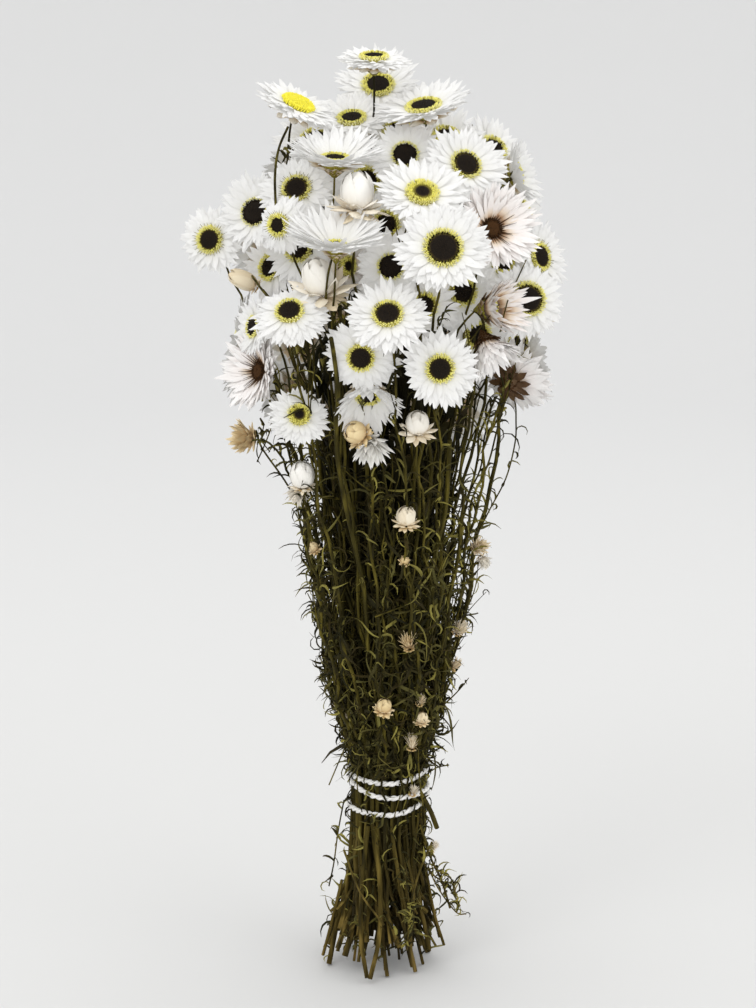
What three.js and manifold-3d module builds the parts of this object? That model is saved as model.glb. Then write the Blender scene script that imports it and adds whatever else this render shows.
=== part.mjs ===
// A dried everlasting daisy bunch that stands on its cut stem ends, tied at the waist with white twine.
// Millimetres, +Z up. The side that the photograph shows faces -Y. Places below are counted from the middle of
// the foot, on the surface that the bunch stands on; STAND then puts the origin under the whole bunch's middle.

import * as THREE from "three";
import { mergeVertices } from "three/addons/utils/BufferGeometryUtils.js";
import Module from "manifold-3d";

const wasm = await Module();
wasm.setup();

// The waist, where the twine holds the stems, and the foot, where their cut ends spread again.
// The stems run straight for a grip's length above and below the middle of the tie.
const TIE = { x: 3, z: 101, radius: 22.8, twine: 1.1, turns: 3, fall: 8.5, tilt: 2.5, grip: 16, knot: 2.4 };
const WAIST_RADIUS = 19.1;
const FOOT_RADIUS = 33;
const SHORTEST_CUT = 16;
const LEG_TWIST = 0.4;
const INNER_LEGS = 8;

// Where the middle of the foot stands, seen from under the middle of the bunch's box.
const STAND = { x: 5.139, y: 8.031 };

// Stems, leaves and the ribbed core that the inner stems and leaves are lost in.
const STEM_RADIUS = 1.25;
const NECK_RADIUS = 0.95;
const NECK_LENGTH = 30;
const OUTER_STEMS = 30;
const RISE_STEPS = 5;
const INNER_STEPS = 3;
const BELLY_RADIUS = 42;
const BELLY_SHARE = 0.26;
const LEAF = { length: 14, radius: 0.85, from: 16, to: 262, spacing: 100, clear: 34, fan: 1.0 };
const CORE = {
  sides: 20,
  rib: 0.94,
  twist: 0.0035,
  profile: [[0, 24], [13, 36], [16.5, 92], [20, 101], [16, 110], [24, 146], [33, 190], [37, 250], [28, 304], [0, 326]],
};

// Flower heads: the disc's share of a head's width, and the gap that keeps a head's bracts off its receptacle.
const DISC_SHARE = 0.35;
const SEAT_GAP = 0.4;
const BRACT = {
  tips: 18, smallTips: 15, smallSpan: 42.5, rootTop: 0.6, rootBottom: 1.7, thickness: 0.7, notch: 0.6, step: 12,
};
const HOLE_SIDES = 6;
const PARTING_GAP = 0.3;
const SLIVER = 0.02;
const MERGE = 1e-3;
const GOLDEN_ANGLE = Math.PI * (3 - Math.sqrt(5));

// The photograph's camera: a pixel and a depth in front of the bunch's axis give a place.
const CAMERA = { x: -2.7, distance: 1150, height: 480, aim: 260, focal: 2167, centre: [378, 504] };

// Open heads on the photographed side. at: the disc's pixel. depth: how far in front of the axis it lies.
// span: the width across its bracts. face: where it looks, degrees to the right of the viewer and above level.
// lift: how steeply its bracts rise from the disc's plane, in degrees. disc: its share, where it isn't DISC_SHARE.
const FRONT_HEADS = [
  { at: [374, 60], depth: 8, span: 42, face: [0, 74], lift: 14 },
  { at: [378, 87], depth: -24, span: 50, face: [0, 45], lift: 6 },
  { at: [297, 106], depth: 25, span: 49, face: [27, 50], lift: -4 },
  { at: [352, 121], depth: 2, span: 44, face: [-8, 62], lift: 6 },
  { at: [424, 109], depth: 20, span: 54, face: [-22, 66], lift: 8 },
  { at: [335, 162], depth: 52, span: 48, face: [10, 70], lift: 34 },
  { at: [405, 156], depth: 30, span: 40, face: [0, 30], lift: 6 },
  { at: [422, 195], depth: 72, span: 48, face: [8, 47], lift: 4 },
  { at: [465, 166], depth: 45, span: 46, face: [22, 32], lift: 6 },
  { at: [514, 175], depth: 12, span: 38, face: [70, 14], lift: 28 },
  { at: [297, 190], depth: 44, span: 42, face: [-12, 32], lift: -8 },
  { at: [256, 213], depth: 30, span: 42, face: [-24, 20], lift: 8 },
  { at: [280, 225], depth: 60, span: 32, face: [-28, 0], lift: -38 },
  { at: [336, 243], depth: 84, span: 50, face: [170, 80], lift: 38 },
  { at: [443, 249], depth: 95, span: 49, face: [4, 22], lift: 6, disc: 0.4 },
  { at: [491, 229], depth: 60, span: 46, face: [22, 16], lift: 18 },
  { at: [538, 257], depth: 22, span: 42, face: [48, 12], lift: 8 },
  { at: [391, 267], depth: 62, span: 38, face: [-6, 12], lift: 4 },
  { at: [211, 240], depth: 18, span: 37, face: [-20, 9], lift: -8, disc: 0.38 },
  { at: [345, 266], depth: 52, span: 30, face: [38, 4], lift: 18 },
  { at: [290, 313], depth: 84, span: 41, face: [-8, 43], lift: -20 },
  { at: [256, 327], depth: 44, span: 32, face: [-58, 10], lift: 8 },
  { at: [388, 316], depth: 100, span: 44, face: [-5, 40], lift: -6 },
  { at: [527, 300], depth: 54, span: 43, face: [14, 20], lift: -20, disc: 0.43 },
  { at: [488, 309], depth: 66, span: 28, face: [52, 8], lift: 52 },
  { at: [487, 344], depth: 70, span: 30, face: [34, -38], lift: 40 },
  { at: [440, 369], depth: 92, span: 41, face: [0, 9], lift: 4 },
  { at: [511, 381], depth: 34, span: 40, face: [128, 32], lift: 26 },
  { at: [361, 357], depth: 86, span: 40, face: [-4, -6], lift: -26 },
  { at: [368, 393], depth: 66, span: 36, face: [2, -14], lift: 20 },
  { at: [299, 416], depth: 66, span: 33, face: [6, 28], lift: -8 },
  { at: [260, 372], depth: 38, span: 40, face: [-98, 8], lift: 28 },
];

// Closed heads: an egg of bracts over a collar of short outer ones. width is the egg's, collar the outer bracts'.
const CLOSED_HEADS = [
  { at: [357, 206], depth: 62, width: 16, height: 22, collar: 30, face: [10, 84] },
  { at: [322, 292], depth: 70, width: 15, height: 22, collar: 32, face: [-24, 72] },
  { at: [256, 286], depth: 22, width: 9, height: 16, collar: 11, face: [-88, 26] },
  { at: [303, 486], depth: 50, width: 12, height: 14, collar: 15, face: [-10, 72] },
  { at: [361, 436], depth: 66, width: 11, height: 10, collar: 13, face: [-30, 48] },
  { at: [371, 442], depth: 62, width: 7, height: 8, collar: 19, face: [4, -56] },
  { at: [417, 432], depth: 68, width: 11, height: 12, collar: 21, face: [4, 66] },
  { at: [406, 524], depth: 56, width: 9.5, height: 10, collar: 16, face: [4, 74] },
  { at: [250, 438], depth: 18, width: 9, height: 12, collar: 17, face: [-74, 4] },
];

// The far side, which the photograph doesn't show: rows of pairs of heads whose bracts have grown into each other.
const FAR_ROWS = [
  { z: 300, reach: 66, look: -2, pairs: 2, from: 128, to: 250 },
  { z: 345, reach: 76, look: 12, pairs: 4, from: 72, to: 288 },
  { z: 398, reach: 80, look: 30, pairs: 3, from: 92, to: 268 },
  { z: 446, reach: 54, look: 52, pairs: 2, from: 100, to: 260 },
];
const FAR_HEAD = { span: 50, apart: 32, slant: 0.6, sway: 7, turn: 9, lift: 7, tips: 9 };

// Small buds that sit on short side shoots along the lower stems, each at its pixel and size.
const SMALL_BUDS = [
  { at: [405, 560], depth: 52, size: 4 },
  { at: [313, 547], depth: 36, size: 5 },
  { at: [482, 546], depth: 22, size: 7 },
  { at: [408, 640], depth: 42, size: 9 },
  { at: [385, 706], depth: 36, size: 8 },
  { at: [422, 697], depth: 32, size: 5 },
  { at: [422, 718], depth: 31, size: 7 },
  { at: [412, 741], depth: 29, size: 7 },
  { at: [457, 661], depth: 12, size: 6 },
  { at: [461, 625], depth: 14, size: 7 },
  { at: [337, 703], depth: 12, size: 5 },
  { at: [348, 715], depth: 20, size: 5 },
];

// Leafy shoots that carry no head: they fill the bunch between the flowering stems.
const BARE_SHOOTS = { count: 5, z: 268, reach: 50 };

const vector = (x, y, z) => new THREE.Vector3(x, y, z);
const radians = THREE.MathUtils.degToRad;

// A repeatable share between 0 and 1 for each whole number and salt.
function share(number, salt = 0) {
  const wave = Math.sin(number * 12.9898 + salt * 78.233 + 4.1) * 43758.5453;
  return wave - Math.floor(wave);
}

// The place where the line of sight through a pixel meets the upright plane at this depth.
function placeOf([px, py], depth) {
  const pitch = Math.atan((CAMERA.height - CAMERA.aim) / CAMERA.distance);
  const right = (px - CAMERA.centre[0]) / CAMERA.focal;
  const down = (py - CAMERA.centre[1]) / CAMERA.focal;
  const away = Math.cos(pitch) - down * Math.sin(pitch);
  const rise = -Math.sin(pitch) - down * Math.cos(pitch);
  const reach = (CAMERA.distance - depth) / away;
  return vector(CAMERA.x + right * reach, -depth, CAMERA.height + rise * reach);
}

// A unit vector that looks this many degrees to the right of the viewer and this many above level.
function bearing([turn, rise]) {
  const level = Math.cos(radians(rise));
  return vector(Math.sin(radians(turn)) * level, -Math.cos(radians(turn)) * level, Math.sin(radians(rise)));
}

// Places a head: its frame has z along the way that it faces, and is spun so that no two heads match.
function pose(head, number) {
  const facing = bearing(head.face);
  const frame = new THREE.Quaternion().setFromUnitVectors(vector(0, 0, 1), facing);
  frame.multiply(new THREE.Quaternion().setFromAxisAngle(vector(0, 0, 1), number * GOLDEN_ANGLE));
  const middle = head.middle ?? placeOf(head.at, head.depth);
  return { ...head, number, facing, middle, frame: new THREE.Matrix4().compose(middle, frame, vector(1, 1, 1)) };
}

function farHeads() {
  const heads = [];
  for (const row of FAR_ROWS) {
    for (let pair = 0; pair < row.pairs; pair++) {
      const round = row.from + ((row.to - row.from) * (pair + 0.5)) / row.pairs;
      const facing = bearing([round, row.look]);
      const level = vector(-facing.y, facing.x, 0).normalize();
      const along = level.applyAxisAngle(facing, FAR_HEAD.slant * (2 * share(round, 31) - 1));
      const centre = bearing([round, 0]).multiplyScalar(row.reach + FAR_HEAD.sway * (share(round, 32) - 0.5));
      centre.add(vector(TIE.x / 2, 0, row.z + FAR_HEAD.sway * (2 * share(round, 33) - 1)));
      for (const side of [-0.5, 0.5]) {
        const middle = centre.clone().addScaledVector(along, side * FAR_HEAD.apart);
        const face = [round + side * FAR_HEAD.turn, row.look];
        heads.push({ middle, face, span: FAR_HEAD.span, lift: FAR_HEAD.lift, tips: FAR_HEAD.tips });
      }
    }
  }
  return heads;
}

// A closed surface from corners and triangles. Corners that meet are merged, and triangles that vanish dropped.
function closed(corners, triangles, merge = MERGE / 10) {
  const bare = new THREE.BufferGeometry();
  bare.setAttribute("position", new THREE.Float32BufferAttribute(corners, 3));
  bare.setIndex(triangles);
  const merged = mergeVertices(bare, merge);
  const kept = [];
  for (let i = 0; i < merged.index.count; i += 3) {
    const [a, b, c] = merged.index.array.slice(i, i + 3);
    if (a !== b && b !== c && c !== a) kept.push(a, b, c);
  }
  merged.setIndex(kept);
  return merged;
}

function solid(geometry) {
  const { array } = geometry.getAttribute("position");
  return new wasm.Manifold(
    new wasm.Mesh({ numProp: 3, vertProperties: array, triVerts: new Uint32Array(geometry.index.array) }),
  );
}

// The biggest body of a cut solid, without the slivers that cutting leaves.
function largest(body) {
  const biggest = (whole) => whole.decompose().sort((a, b) => b.volume() - a.volume())[0];
  const made = biggest(body).simplify(SLIVER).getMesh();
  return biggest(solid(closed([...made.vertProperties], [...made.triVerts], MERGE)));
}

// A closed solid from one of three.js's own shapes.
function solidOfShape(shape, matrix = new THREE.Matrix4()) {
  const placed = shape.applyMatrix4(matrix);
  return solid(closed([...placed.getAttribute("position").array], [...placed.index.array]));
}

// A tube through the points, closed at both ends. A radius of zero makes a pointed end.
function tube(points, radii, sides) {
  const corners = [];
  const triangles = [];
  const along = vector(0, 0, 0);
  const normal = vector(0.31, 0.95, 0.02);
  points.forEach((point, i) => {
    along.subVectors(points[Math.min(i + 1, points.length - 1)], points[Math.max(i - 1, 0)]).normalize();
    normal.addScaledVector(along, -normal.dot(along)).normalize();
    const across = along.clone().cross(normal);
    for (let side = 0; side < sides; side++) {
      const angle = (2 * Math.PI * side) / sides;
      const corner = point.clone().addScaledVector(normal, Math.cos(angle) * radii[i]);
      corner.addScaledVector(across, Math.sin(angle) * radii[i]);
      corners.push(...corner.toArray());
      const next = (side + 1) % sides;
      const ring = i * sides;
      if (i > 0) {
        triangles.push(ring - sides + side, ring - sides + next, ring + next);
        triangles.push(ring - sides + side, ring + next, ring + side);
      }
    }
  });
  const last = (points.length - 1) * sides;
  for (let side = 1; side < sides - 1; side++) {
    triangles.push(0, side + 1, side, last, last + side, last + side + 1);
  }
  return solid(closed(corners, triangles));
}

// A head's rosette of bracts: a plate round the disc whose rim runs out to high and low tips in turn.
// grow thickens and widens it all round, for the gap that it leaves in its neighbours.
function bractPlate(head, grow = 0) {
  const { rootTop, rootBottom, thickness, notch, step } = BRACT;
  const tips = head.tips ?? (head.span < BRACT.smallSpan ? BRACT.smallTips : BRACT.tips);
  const hole = discRadius(head) + SEAT_GAP;
  const length = (head.span / 2 - hole) / Math.cos(radians(head.lift));
  const rim = tips * 2;
  const corners = [];
  const triangles = [];
  const addRing = (count, cornerAt) => {
    for (let i = 0; i < count; i++) {
      const [radius, height, angle] = cornerAt(i);
      corners.push(Math.cos(angle) * radius, Math.sin(angle) * radius, height);
    }
  };
  const addRim = (side) => addRing(rim, (i) => {
    const isTip = i % 2 === 1;
    const high = i % 4 === 1;
    const slope = radians(head.lift + (isTip ? (high ? step : -step / 2) : step / 4));
    const reach = isTip ? (high ? 0.88 : 0.96) + 0.08 * share(i, head.number) : notch;
    const sway = isTip ? (share(i, head.number + 50) - 0.5) * 0.09 : 0;
    const radius = hole + length * reach * Math.cos(slope) + grow;
    const height = length * reach * Math.sin(slope) + (isTip ? Math.sign(side) * grow : side);
    return [radius, height, (2 * Math.PI * i) / rim + sway];
  });
  const addHole = (height) =>
    addRing(HOLE_SIDES, (i) => [hole - grow, height, (2 * Math.PI * i) / HOLE_SIDES]);
  addHole(rootTop + grow);
  addHole(-rootBottom - grow);
  addRim(thickness / 2 + grow);
  addRim(-thickness / 2 - grow);
  const top = { hole: 0, rim: HOLE_SIDES * 2 };
  const bottom = { hole: HOLE_SIDES, rim: HOLE_SIDES * 2 + rim };
  const perSide = rim / HOLE_SIDES;
  const halfSide = Math.floor(perSide / 2);
  const addFace = ({ hole: inner, rim: outer }, up) => {
    const add = (a, b, c) => triangles.push(...(up ? [a, b, c] : [a, c, b]));
    for (let side = 0; side < HOLE_SIDES; side++) {
      const here = inner + side;
      const next = inner + ((side + 1) % HOLE_SIDES);
      for (let i = 0; i < perSide; i++) {
        const corner = outer + side * perSide + i;
        const following = outer + ((side * perSide + i + 1) % rim);
        add(i < halfSide ? here : next, corner, following);
        if (i === halfSide - 1) add(here, following, next);
      }
    }
  };
  addFace(top, true);
  addFace(bottom, false);
  const addWall = (upper, lower, count, outward) => {
    for (let i = 0; i < count; i++) {
      const next = (i + 1) % count;
      const quad = [lower + i, lower + next, upper + next, lower + i, upper + next, upper + i];
      triangles.push(...(outward ? quad : quad.reverse()));
    }
  };
  addWall(top.rim, bottom.rim, rim, true);
  addWall(top.hole, bottom.hole, HOLE_SIDES, false);
  return solid(closed(corners, triangles)).transform(head.frame.elements);
}

function discRadius(head) {
  return (head.span / 2) * (head.disc ?? DISC_SHARE);
}

// A closed head: an egg that stands in a collar of pointed outer bracts, both with a flat underside.
function closedHead(head, grow = 0) {
  const egg = [
    [0, 0], [0.34, 0], [0.5, 0.35], [0.36, 0.78], [0, 1],
  ].map(([across, up]) => new THREE.Vector2(across * (head.width + 2 * grow), up * (head.height + grow)));
  const body = new THREE.LatheGeometry(egg, 6).rotateX(Math.PI / 2);
  const points = 5;
  const corners = [];
  const triangles = [];
  const rootRadius = head.width * 0.3;
  for (const height of [1.5 + grow, -grow]) corners.push(0, 0, height);
  for (let i = 0; i < points * 2; i++) {
    const isTip = i % 2 === 1;
    const radius = isTip ? head.collar / 2 + grow : rootRadius + (head.collar / 2 - rootRadius) * 0.45;
    const height = (radius - rootRadius) * (0.3 + 0.3 * share(i, head.number)) + 0.6;
    const angle = (Math.PI * i) / points;
    for (const side of [grow, -grow]) {
      corners.push(Math.cos(angle) * radius, Math.sin(angle) * radius, height + side);
    }
    const [high, low] = [2 + i * 2, 3 + i * 2];
    const [nextHigh, nextLow] = [2 + ((i + 1) % (points * 2)) * 2, 3 + ((i + 1) % (points * 2)) * 2];
    triangles.push(0, high, nextHigh, 1, nextLow, low, low, nextLow, nextHigh, low, nextHigh, high);
  }
  const collar = solid(closed(corners, triangles));
  return solidOfShape(body).add(collar).transform(head.frame.elements);
}

// The receptacle under a head's bracts, and the domed disc of florets that stands up through them.
function receptacle(head, grow = 0) {
  const radius = discRadius(head) + grow;
  const profile = [[0, -11 - grow], [radius, -2.4 - grow], [radius, 1.4 + grow], [0, 3.2 + grow]];
  const points = profile.map(([across, up]) => new THREE.Vector2(across, up));
  const shape = new THREE.LatheGeometry(points, HOLE_SIDES).rotateX(Math.PI / 2).rotateZ(Math.PI / 2);
  return solidOfShape(shape, head.frame);
}

// The cup at a stem's end that a closed head sits on.
function budSeat(head, grow = 0) {
  const radius = head.width * 0.3 + grow;
  const profile = [[0, -6 - grow], [radius, -1.6], [radius, -SEAT_GAP + grow], [0, -SEAT_GAP + grow]];
  const points = profile.map(([across, up]) => new THREE.Vector2(across, up));
  return solidOfShape(new THREE.LatheGeometry(points, 6).rotateX(Math.PI / 2), head.frame);
}

// Where each stem passes the waist and where it is cut. Stems of low, wide heads go round the outside,
// side by side; the others are lost in the core there.
function layStems(heads) {
  const byWidth = [...heads].sort((a, b) => outwardness(b) - outwardness(a));
  const outer = byWidth.slice(0, OUTER_STEMS).sort((a, b) => roundOf(a) - roundOf(b));
  outer.forEach((head, i) => {
    const turn = roundOf(outer[0]) + (2 * Math.PI * i) / OUTER_STEMS;
    const twist = turn + LEG_TWIST + (share(head.number, 7) - 0.5) * 0.12;
    const spread = FOOT_RADIUS * (0.86 + 0.14 * share(head.number, 5));
    const short = i % 3 === 1 ? SHORTEST_CUT * share(head.number, 9) : -2;
    head.outer = true;
    head.waist = vector(TIE.x + Math.cos(turn) * WAIST_RADIUS, Math.sin(turn) * WAIST_RADIUS, TIE.z);
    head.foot = vector(Math.cos(twist) * spread, Math.sin(twist) * spread, short);
    head.path = [...legOf(head).getPoints(2), ...riseOf(head).getPoints(RISE_STEPS)];
  });
  byWidth.slice(OUTER_STEMS).forEach((head, rank) => {
    const turn = roundOf(head);
    const reach = WAIST_RADIUS * (0.7 - (0.6 * rank) / heads.length);
    head.waist = vector(TIE.x + Math.cos(turn) * reach, Math.sin(turn) * reach, TIE.z);
    const rise = riseOf(head);
    const start = leavingCore(rise);
    const at = (i) => start + ((1 - start) * i) / INNER_STEPS;
    head.path = Array.from({ length: INNER_STEPS + 1 }, (_, i) => rise.getPoint(at(i)));
  });
}

// How far along its curve a stem is when it is about to come out of the core.
function leavingCore(rise) {
  let at = 0;
  while (at < 0.9 && insideCore(rise.getPoint(at + 0.05))) at += 0.05;
  return at;
}

function insideCore(point) {
  const above = CORE.profile.findIndex(([, z]) => z > point.z);
  if (above < 1) return false;
  const [[lowRadius, low], [highRadius, high]] = [CORE.profile[above - 1], CORE.profile[above]];
  const radius = THREE.MathUtils.mapLinear(point.z, low, high, lowRadius, highRadius);
  return Math.hypot(point.x - TIE.x, point.y) < radius - 4;
}

function roundOf(head) {
  return Math.atan2(head.middle.y, head.middle.x);
}

function outwardness(head) {
  return Math.hypot(head.middle.x, head.middle.y) - (head.middle.z - TIE.z) * 0.45;
}

// A stem's centre-line above the tie: it fans out to the belly, then runs up behind its head.
function riseOf(head) {
  const end = head.middle.clone().addScaledVector(head.facing, head.width ? -4 : -7);
  const top = head.waist.clone().setZ(TIE.z + TIE.grip);
  const height = end.z - top.z;
  const out = vector(head.waist.x - TIE.x, head.waist.y, 0).multiplyScalar(BELLY_RADIUS / WAIST_RADIUS - 1);
  const first = top.clone().add(out).add(vector(0, 0, height * BELLY_SHARE));
  const second = end.clone().addScaledVector(head.facing, -NECK_LENGTH);
  second.z = Math.min(second.z, end.z + 4);
  second.add(vector(0, 0, -height * 0.08));
  return new THREE.CubicBezierCurve3(top, first, second, end);
}

// Below the tie the stems spread again to their cut ends.
function legOf(head) {
  const bend = vector(head.waist.x, head.waist.y, TIE.z * 0.45);
  return new THREE.QuadraticBezierCurve3(head.foot, bend, head.waist.clone().setZ(TIE.z - TIE.grip));
}

function stemTube(head, grow = 0) {
  const { path } = head;
  const radii = path.map((_, i) => {
    const fromHead = path.length - 1 - i;
    return THREE.MathUtils.lerp(NECK_RADIUS, STEM_RADIUS, Math.min(1, fromHead / RISE_STEPS)) + grow;
  });
  return tube(path, radii, 3);
}

// The point of a stem's centre-line at this height.
function pointAt(path, z) {
  const i = path.findIndex((point, at) => at > 0 && point.z >= z);
  if (i < 1) return null;
  return path[i - 1].clone().lerp(path[i], (z - path[i - 1].z) / (path[i].z - path[i - 1].z));
}

// Narrow curled leaves stand off the outer stems, each rooted in its stem.
function leavesOf(head, grow = 0) {
  const leaves = [];
  if (!head.outer) return leaves;
  for (let z = LEAF.from + LEAF.spacing * share(head.number, 11); z < LEAF.to; z += LEAF.spacing) {
    const root = pointAt(head.path, z);
    if (!root || Math.abs(z - TIE.z) < 24 || root.distanceTo(head.middle) < LEAF.clear) continue;
    const turn = Math.atan2(root.y, root.x - TIE.x) + (share(z, head.number) - 0.5) * LEAF.fan;
    const out = vector(Math.cos(turn), Math.sin(turn), 0);
    const length = LEAF.length * (0.65 + 0.7 * share(z, head.number + 1));
    const curl = share(z, head.number + 2) - 0.35;
    const middle = root.clone().addScaledVector(out, length * 0.5).add(vector(0, 0, length * 0.35));
    const tip = root.clone().addScaledVector(out, length * 0.85).add(vector(0, 0, length * curl));
    leaves.push(tube([root, middle, tip], [LEAF.radius + grow, LEAF.radius * 0.9 + grow, grow], 3));
  }
  return leaves;
}

// A small bud on a side shoot that starts inside the bunch.
function smallBud(bud, grow = 0) {
  const middle = placeOf(bud.at, bud.depth);
  const axis = vector(TIE.x, 0, middle.z - 14);
  const root = axis.lerp(middle, 0.55);
  const shoot = tube([root, middle], [0.8 + grow, 0.8 + grow], 3);
  const ball = new THREE.OctahedronGeometry(bud.size / 2 + grow, 0);
  const corners = [...ball.getAttribute("position").array];
  const ballSolid = solid(closed(corners, corners.filter((_, i) => i % 3 === 0).map((_, i) => i)));
  return shoot.add(ballSolid.transform(new THREE.Matrix4().makeTranslation(middle).elements));
}

function bareShoots(firstNumber) {
  return Array.from({ length: BARE_SHOOTS.count }, (_, i) => {
    const turn = i * GOLDEN_ANGLE * 2 + 0.6;
    const reach = BARE_SHOOTS.reach * (0.8 + 0.3 * share(i, 21));
    const middle = vector(Math.cos(turn) * reach, Math.sin(turn) * reach, BARE_SHOOTS.z + 30 * share(i, 22));
    return { middle, facing: vector(Math.cos(turn) * 0.3, Math.sin(turn) * 0.3, 1).normalize(), number: firstNumber + i };
  });
}

// Legs of inner stems below the core. The middle one is cut flat on the surface at the origin.
function innerLegs(grow) {
  const legs = [tube([vector(0, 0, -2), vector(TIE.x, 0, 40)], [2 + grow, 2 + grow], 6)];
  for (let i = 0; i < INNER_LEGS; i++) {
    const turn = i * GOLDEN_ANGLE;
    const reach = FOOT_RADIUS * (0.3 + (0.4 * i) / INNER_LEGS);
    const foot = vector(Math.cos(turn) * reach, Math.sin(turn) * reach, -2 + 8 * (i % 3));
    const top = vector(TIE.x + Math.cos(turn - LEG_TWIST) * 10, Math.sin(turn - LEG_TWIST) * 10, 52);
    legs.push(tube([foot, top], [STEM_RADIUS + grow, STEM_RADIUS + grow], 3));
  }
  return legs;
}

// The core's ribs stand for the inner stems that show between the outer ones, and turn with them.
function ribbedCore() {
  const { sides, rib, twist, profile } = CORE;
  const corners = [];
  const triangles = [];
  profile.forEach(([radius, z], ring) => {
    for (let side = 0; side < sides; side++) {
      const angle = (2 * Math.PI * side) / sides + z * twist;
      const reach = side % 2 ? radius * rib : radius;
      corners.push(TIE.x + Math.cos(angle) * reach, Math.sin(angle) * reach, z);
      if (ring === 0) continue;
      const [here, next] = [ring * sides + side, ring * sides + ((side + 1) % sides)];
      triangles.push(here - sides, next - sides, next, here - sides, next, here);
    }
  });
  return solid(closed(corners, triangles));
}

// All stems with their leaves, receptacles, discs and small buds: one body, joined round the slim core.
function stemBunch(stems, openHeads, buds, grow = 0) {
  const pieces = [ribbedCore(), ...innerLegs(grow)];
  for (const stem of stems) pieces.push(stemTube(stem, grow), ...leavesOf(stem, grow));
  for (const head of openHeads) pieces.push(receptacle(head, grow));
  for (const head of buds) pieces.push(budSeat(head, grow));
  for (const bud of SMALL_BUDS) pieces.push(smallBud(bud, grow));
  const surface = solidOfShape(new THREE.BoxGeometry(400, 400, 40), new THREE.Matrix4().makeTranslation(0, 0, -20));
  return largest(wasm.Manifold.union(pieces).subtract(surface));
}

// A place on the twine's centre-line, this many turns from its start at the back of the bunch.
function twinePoint(turns, out = 0) {
  const angle = 2 * Math.PI * turns + Math.PI / 2;
  const radius = TIE.radius + out;
  const z = TIE.z + TIE.fall * (TIE.turns / 2 - turns) + TIE.tilt * Math.cos(angle);
  return vector(TIE.x + Math.cos(angle) * radius, Math.sin(angle) * radius, z);
}

// The twine winds round the waist and drops a little with each turn. At the back its two ends cross over the
// turns to one knot, with two short tails.
function tie() {
  const steps = 12;
  const windings = Array.from({ length: TIE.turns * steps + 1 }, (_, i) => twinePoint(i / steps));
  const [start, end] = [windings[0], windings.at(-1)];
  const knot = twinePoint(TIE.turns / 2, TIE.knot).setX(TIE.x).setY(TIE.radius + TIE.knot);
  const twine = (points) => tube(points, points.map(() => TIE.twine), 4);
  const lump = new THREE.OctahedronGeometry(TIE.knot * 1.3, 0);
  const corners = [...lump.getAttribute("position").array];
  const lumpSolid = solid(closed(corners, corners.filter((_, i) => i % 3 === 0).map((_, i) => i)));
  return wasm.Manifold.union([
    twine(windings),
    twine([start, start.clone().lerp(knot, 0.3).setY(knot.y), knot]),
    twine([end, end.clone().lerp(knot, 0.3).setY(knot.y), knot]),
    twine([knot, knot.clone().add(vector(-6, 2, -9)), knot.clone().add(vector(-9, 1, -19))]),
    twine([knot, knot.clone().add(vector(6, 2, -7)), knot.clone().add(vector(10, 2, -15))]),
    lumpSolid.transform(new THREE.Matrix4().makeTranslation(knot).elements),
  ]);
}

// Bracts part round whatever they would cross, and a scrap that this cuts loose is dropped.
function partRound(plate, obstacles) {
  let kept = plate;
  for (const obstacle of obstacles) {
    if (kept.intersect(obstacle).volume() > 1e-4) kept = kept.subtract(obstacle);
  }
  return largest(kept);
}

function meshOf(name, body, look) {
  const made = body.getMesh();
  const geometry = new THREE.BufferGeometry();
  geometry.setAttribute("position", new THREE.BufferAttribute(new Float32Array(made.vertProperties), 3));
  geometry.setIndex(new THREE.BufferAttribute(new Uint32Array(made.triVerts), 1));
  geometry.computeVertexNormals();
  const mesh = new THREE.Mesh(geometry, new THREE.MeshStandardMaterial({ ...look, metalness: 0 }));
  mesh.name = name;
  return mesh;
}

const bractWhite = { color: 0xf6f5f0, roughness: 0.62 };
const budCream = { color: 0xe9dfc6, roughness: 0.6 };
const stemOlive = { color: 0x4a4222, roughness: 0.85 };
const twineWhite = { color: 0xe8e4dc, roughness: 0.7 };

const frontHeads = FRONT_HEADS.map(pose);
const closedHeads = CLOSED_HEADS.map((head, i) => pose(head, 100 + i));
const rearHeads = farHeads().map((head, i) => pose(head, 200 + i));
const openHeads = [...frontHeads, ...rearHeads];
const stems = [...openHeads, ...closedHeads, ...bareShoots(300)];
layStems(stems);

const bunch = new THREE.Group();
bunch.position.set(STAND.x, STAND.y, 0);
const stemBody = stemBunch(stems, openHeads, closedHeads);
const stemRoom = stemBunch(stems, openHeads, closedHeads, PARTING_GAP);
bunch.add(meshOf("leafy_stems", stemBody, stemOlive));
bunch.add(meshOf("twine", tie(), twineWhite));

const taken = [];
function addHead(name, plates, rooms, look) {
  const whole = wasm.Manifold.union(plates);
  bunch.add(meshOf(name, partRound(whole, [stemRoom, ...taken]), look));
  taken.push(...rooms);
}
const label = (kind, i) => `${kind}_${String(i + 1).padStart(2, "0")}`;
closedHeads.forEach((head, i) => {
  addHead(label("bud", i), [closedHead(head)], [closedHead(head, PARTING_GAP)], budCream);
});
frontHeads.forEach((head, i) => {
  addHead(label("bloom", i), [bractPlate(head)], [bractPlate(head, PARTING_GAP)], bractWhite);
});
for (let i = 0; i < rearHeads.length; i += 2) {
  const pair = rearHeads.slice(i, i + 2);
  addHead(
    label("bloom_pair", i / 2),
    pair.map((head) => bractPlate(head)),
    pair.map((head) => bractPlate(head, PARTING_GAP)),
    bractWhite,
  );
}

export default bunch;
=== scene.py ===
from math import atan, atan2, cos, exp, floor, hypot, pi, radians, sin, sqrt

import bmesh
import bpy
import numpy as np
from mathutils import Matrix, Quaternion, Vector


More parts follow.
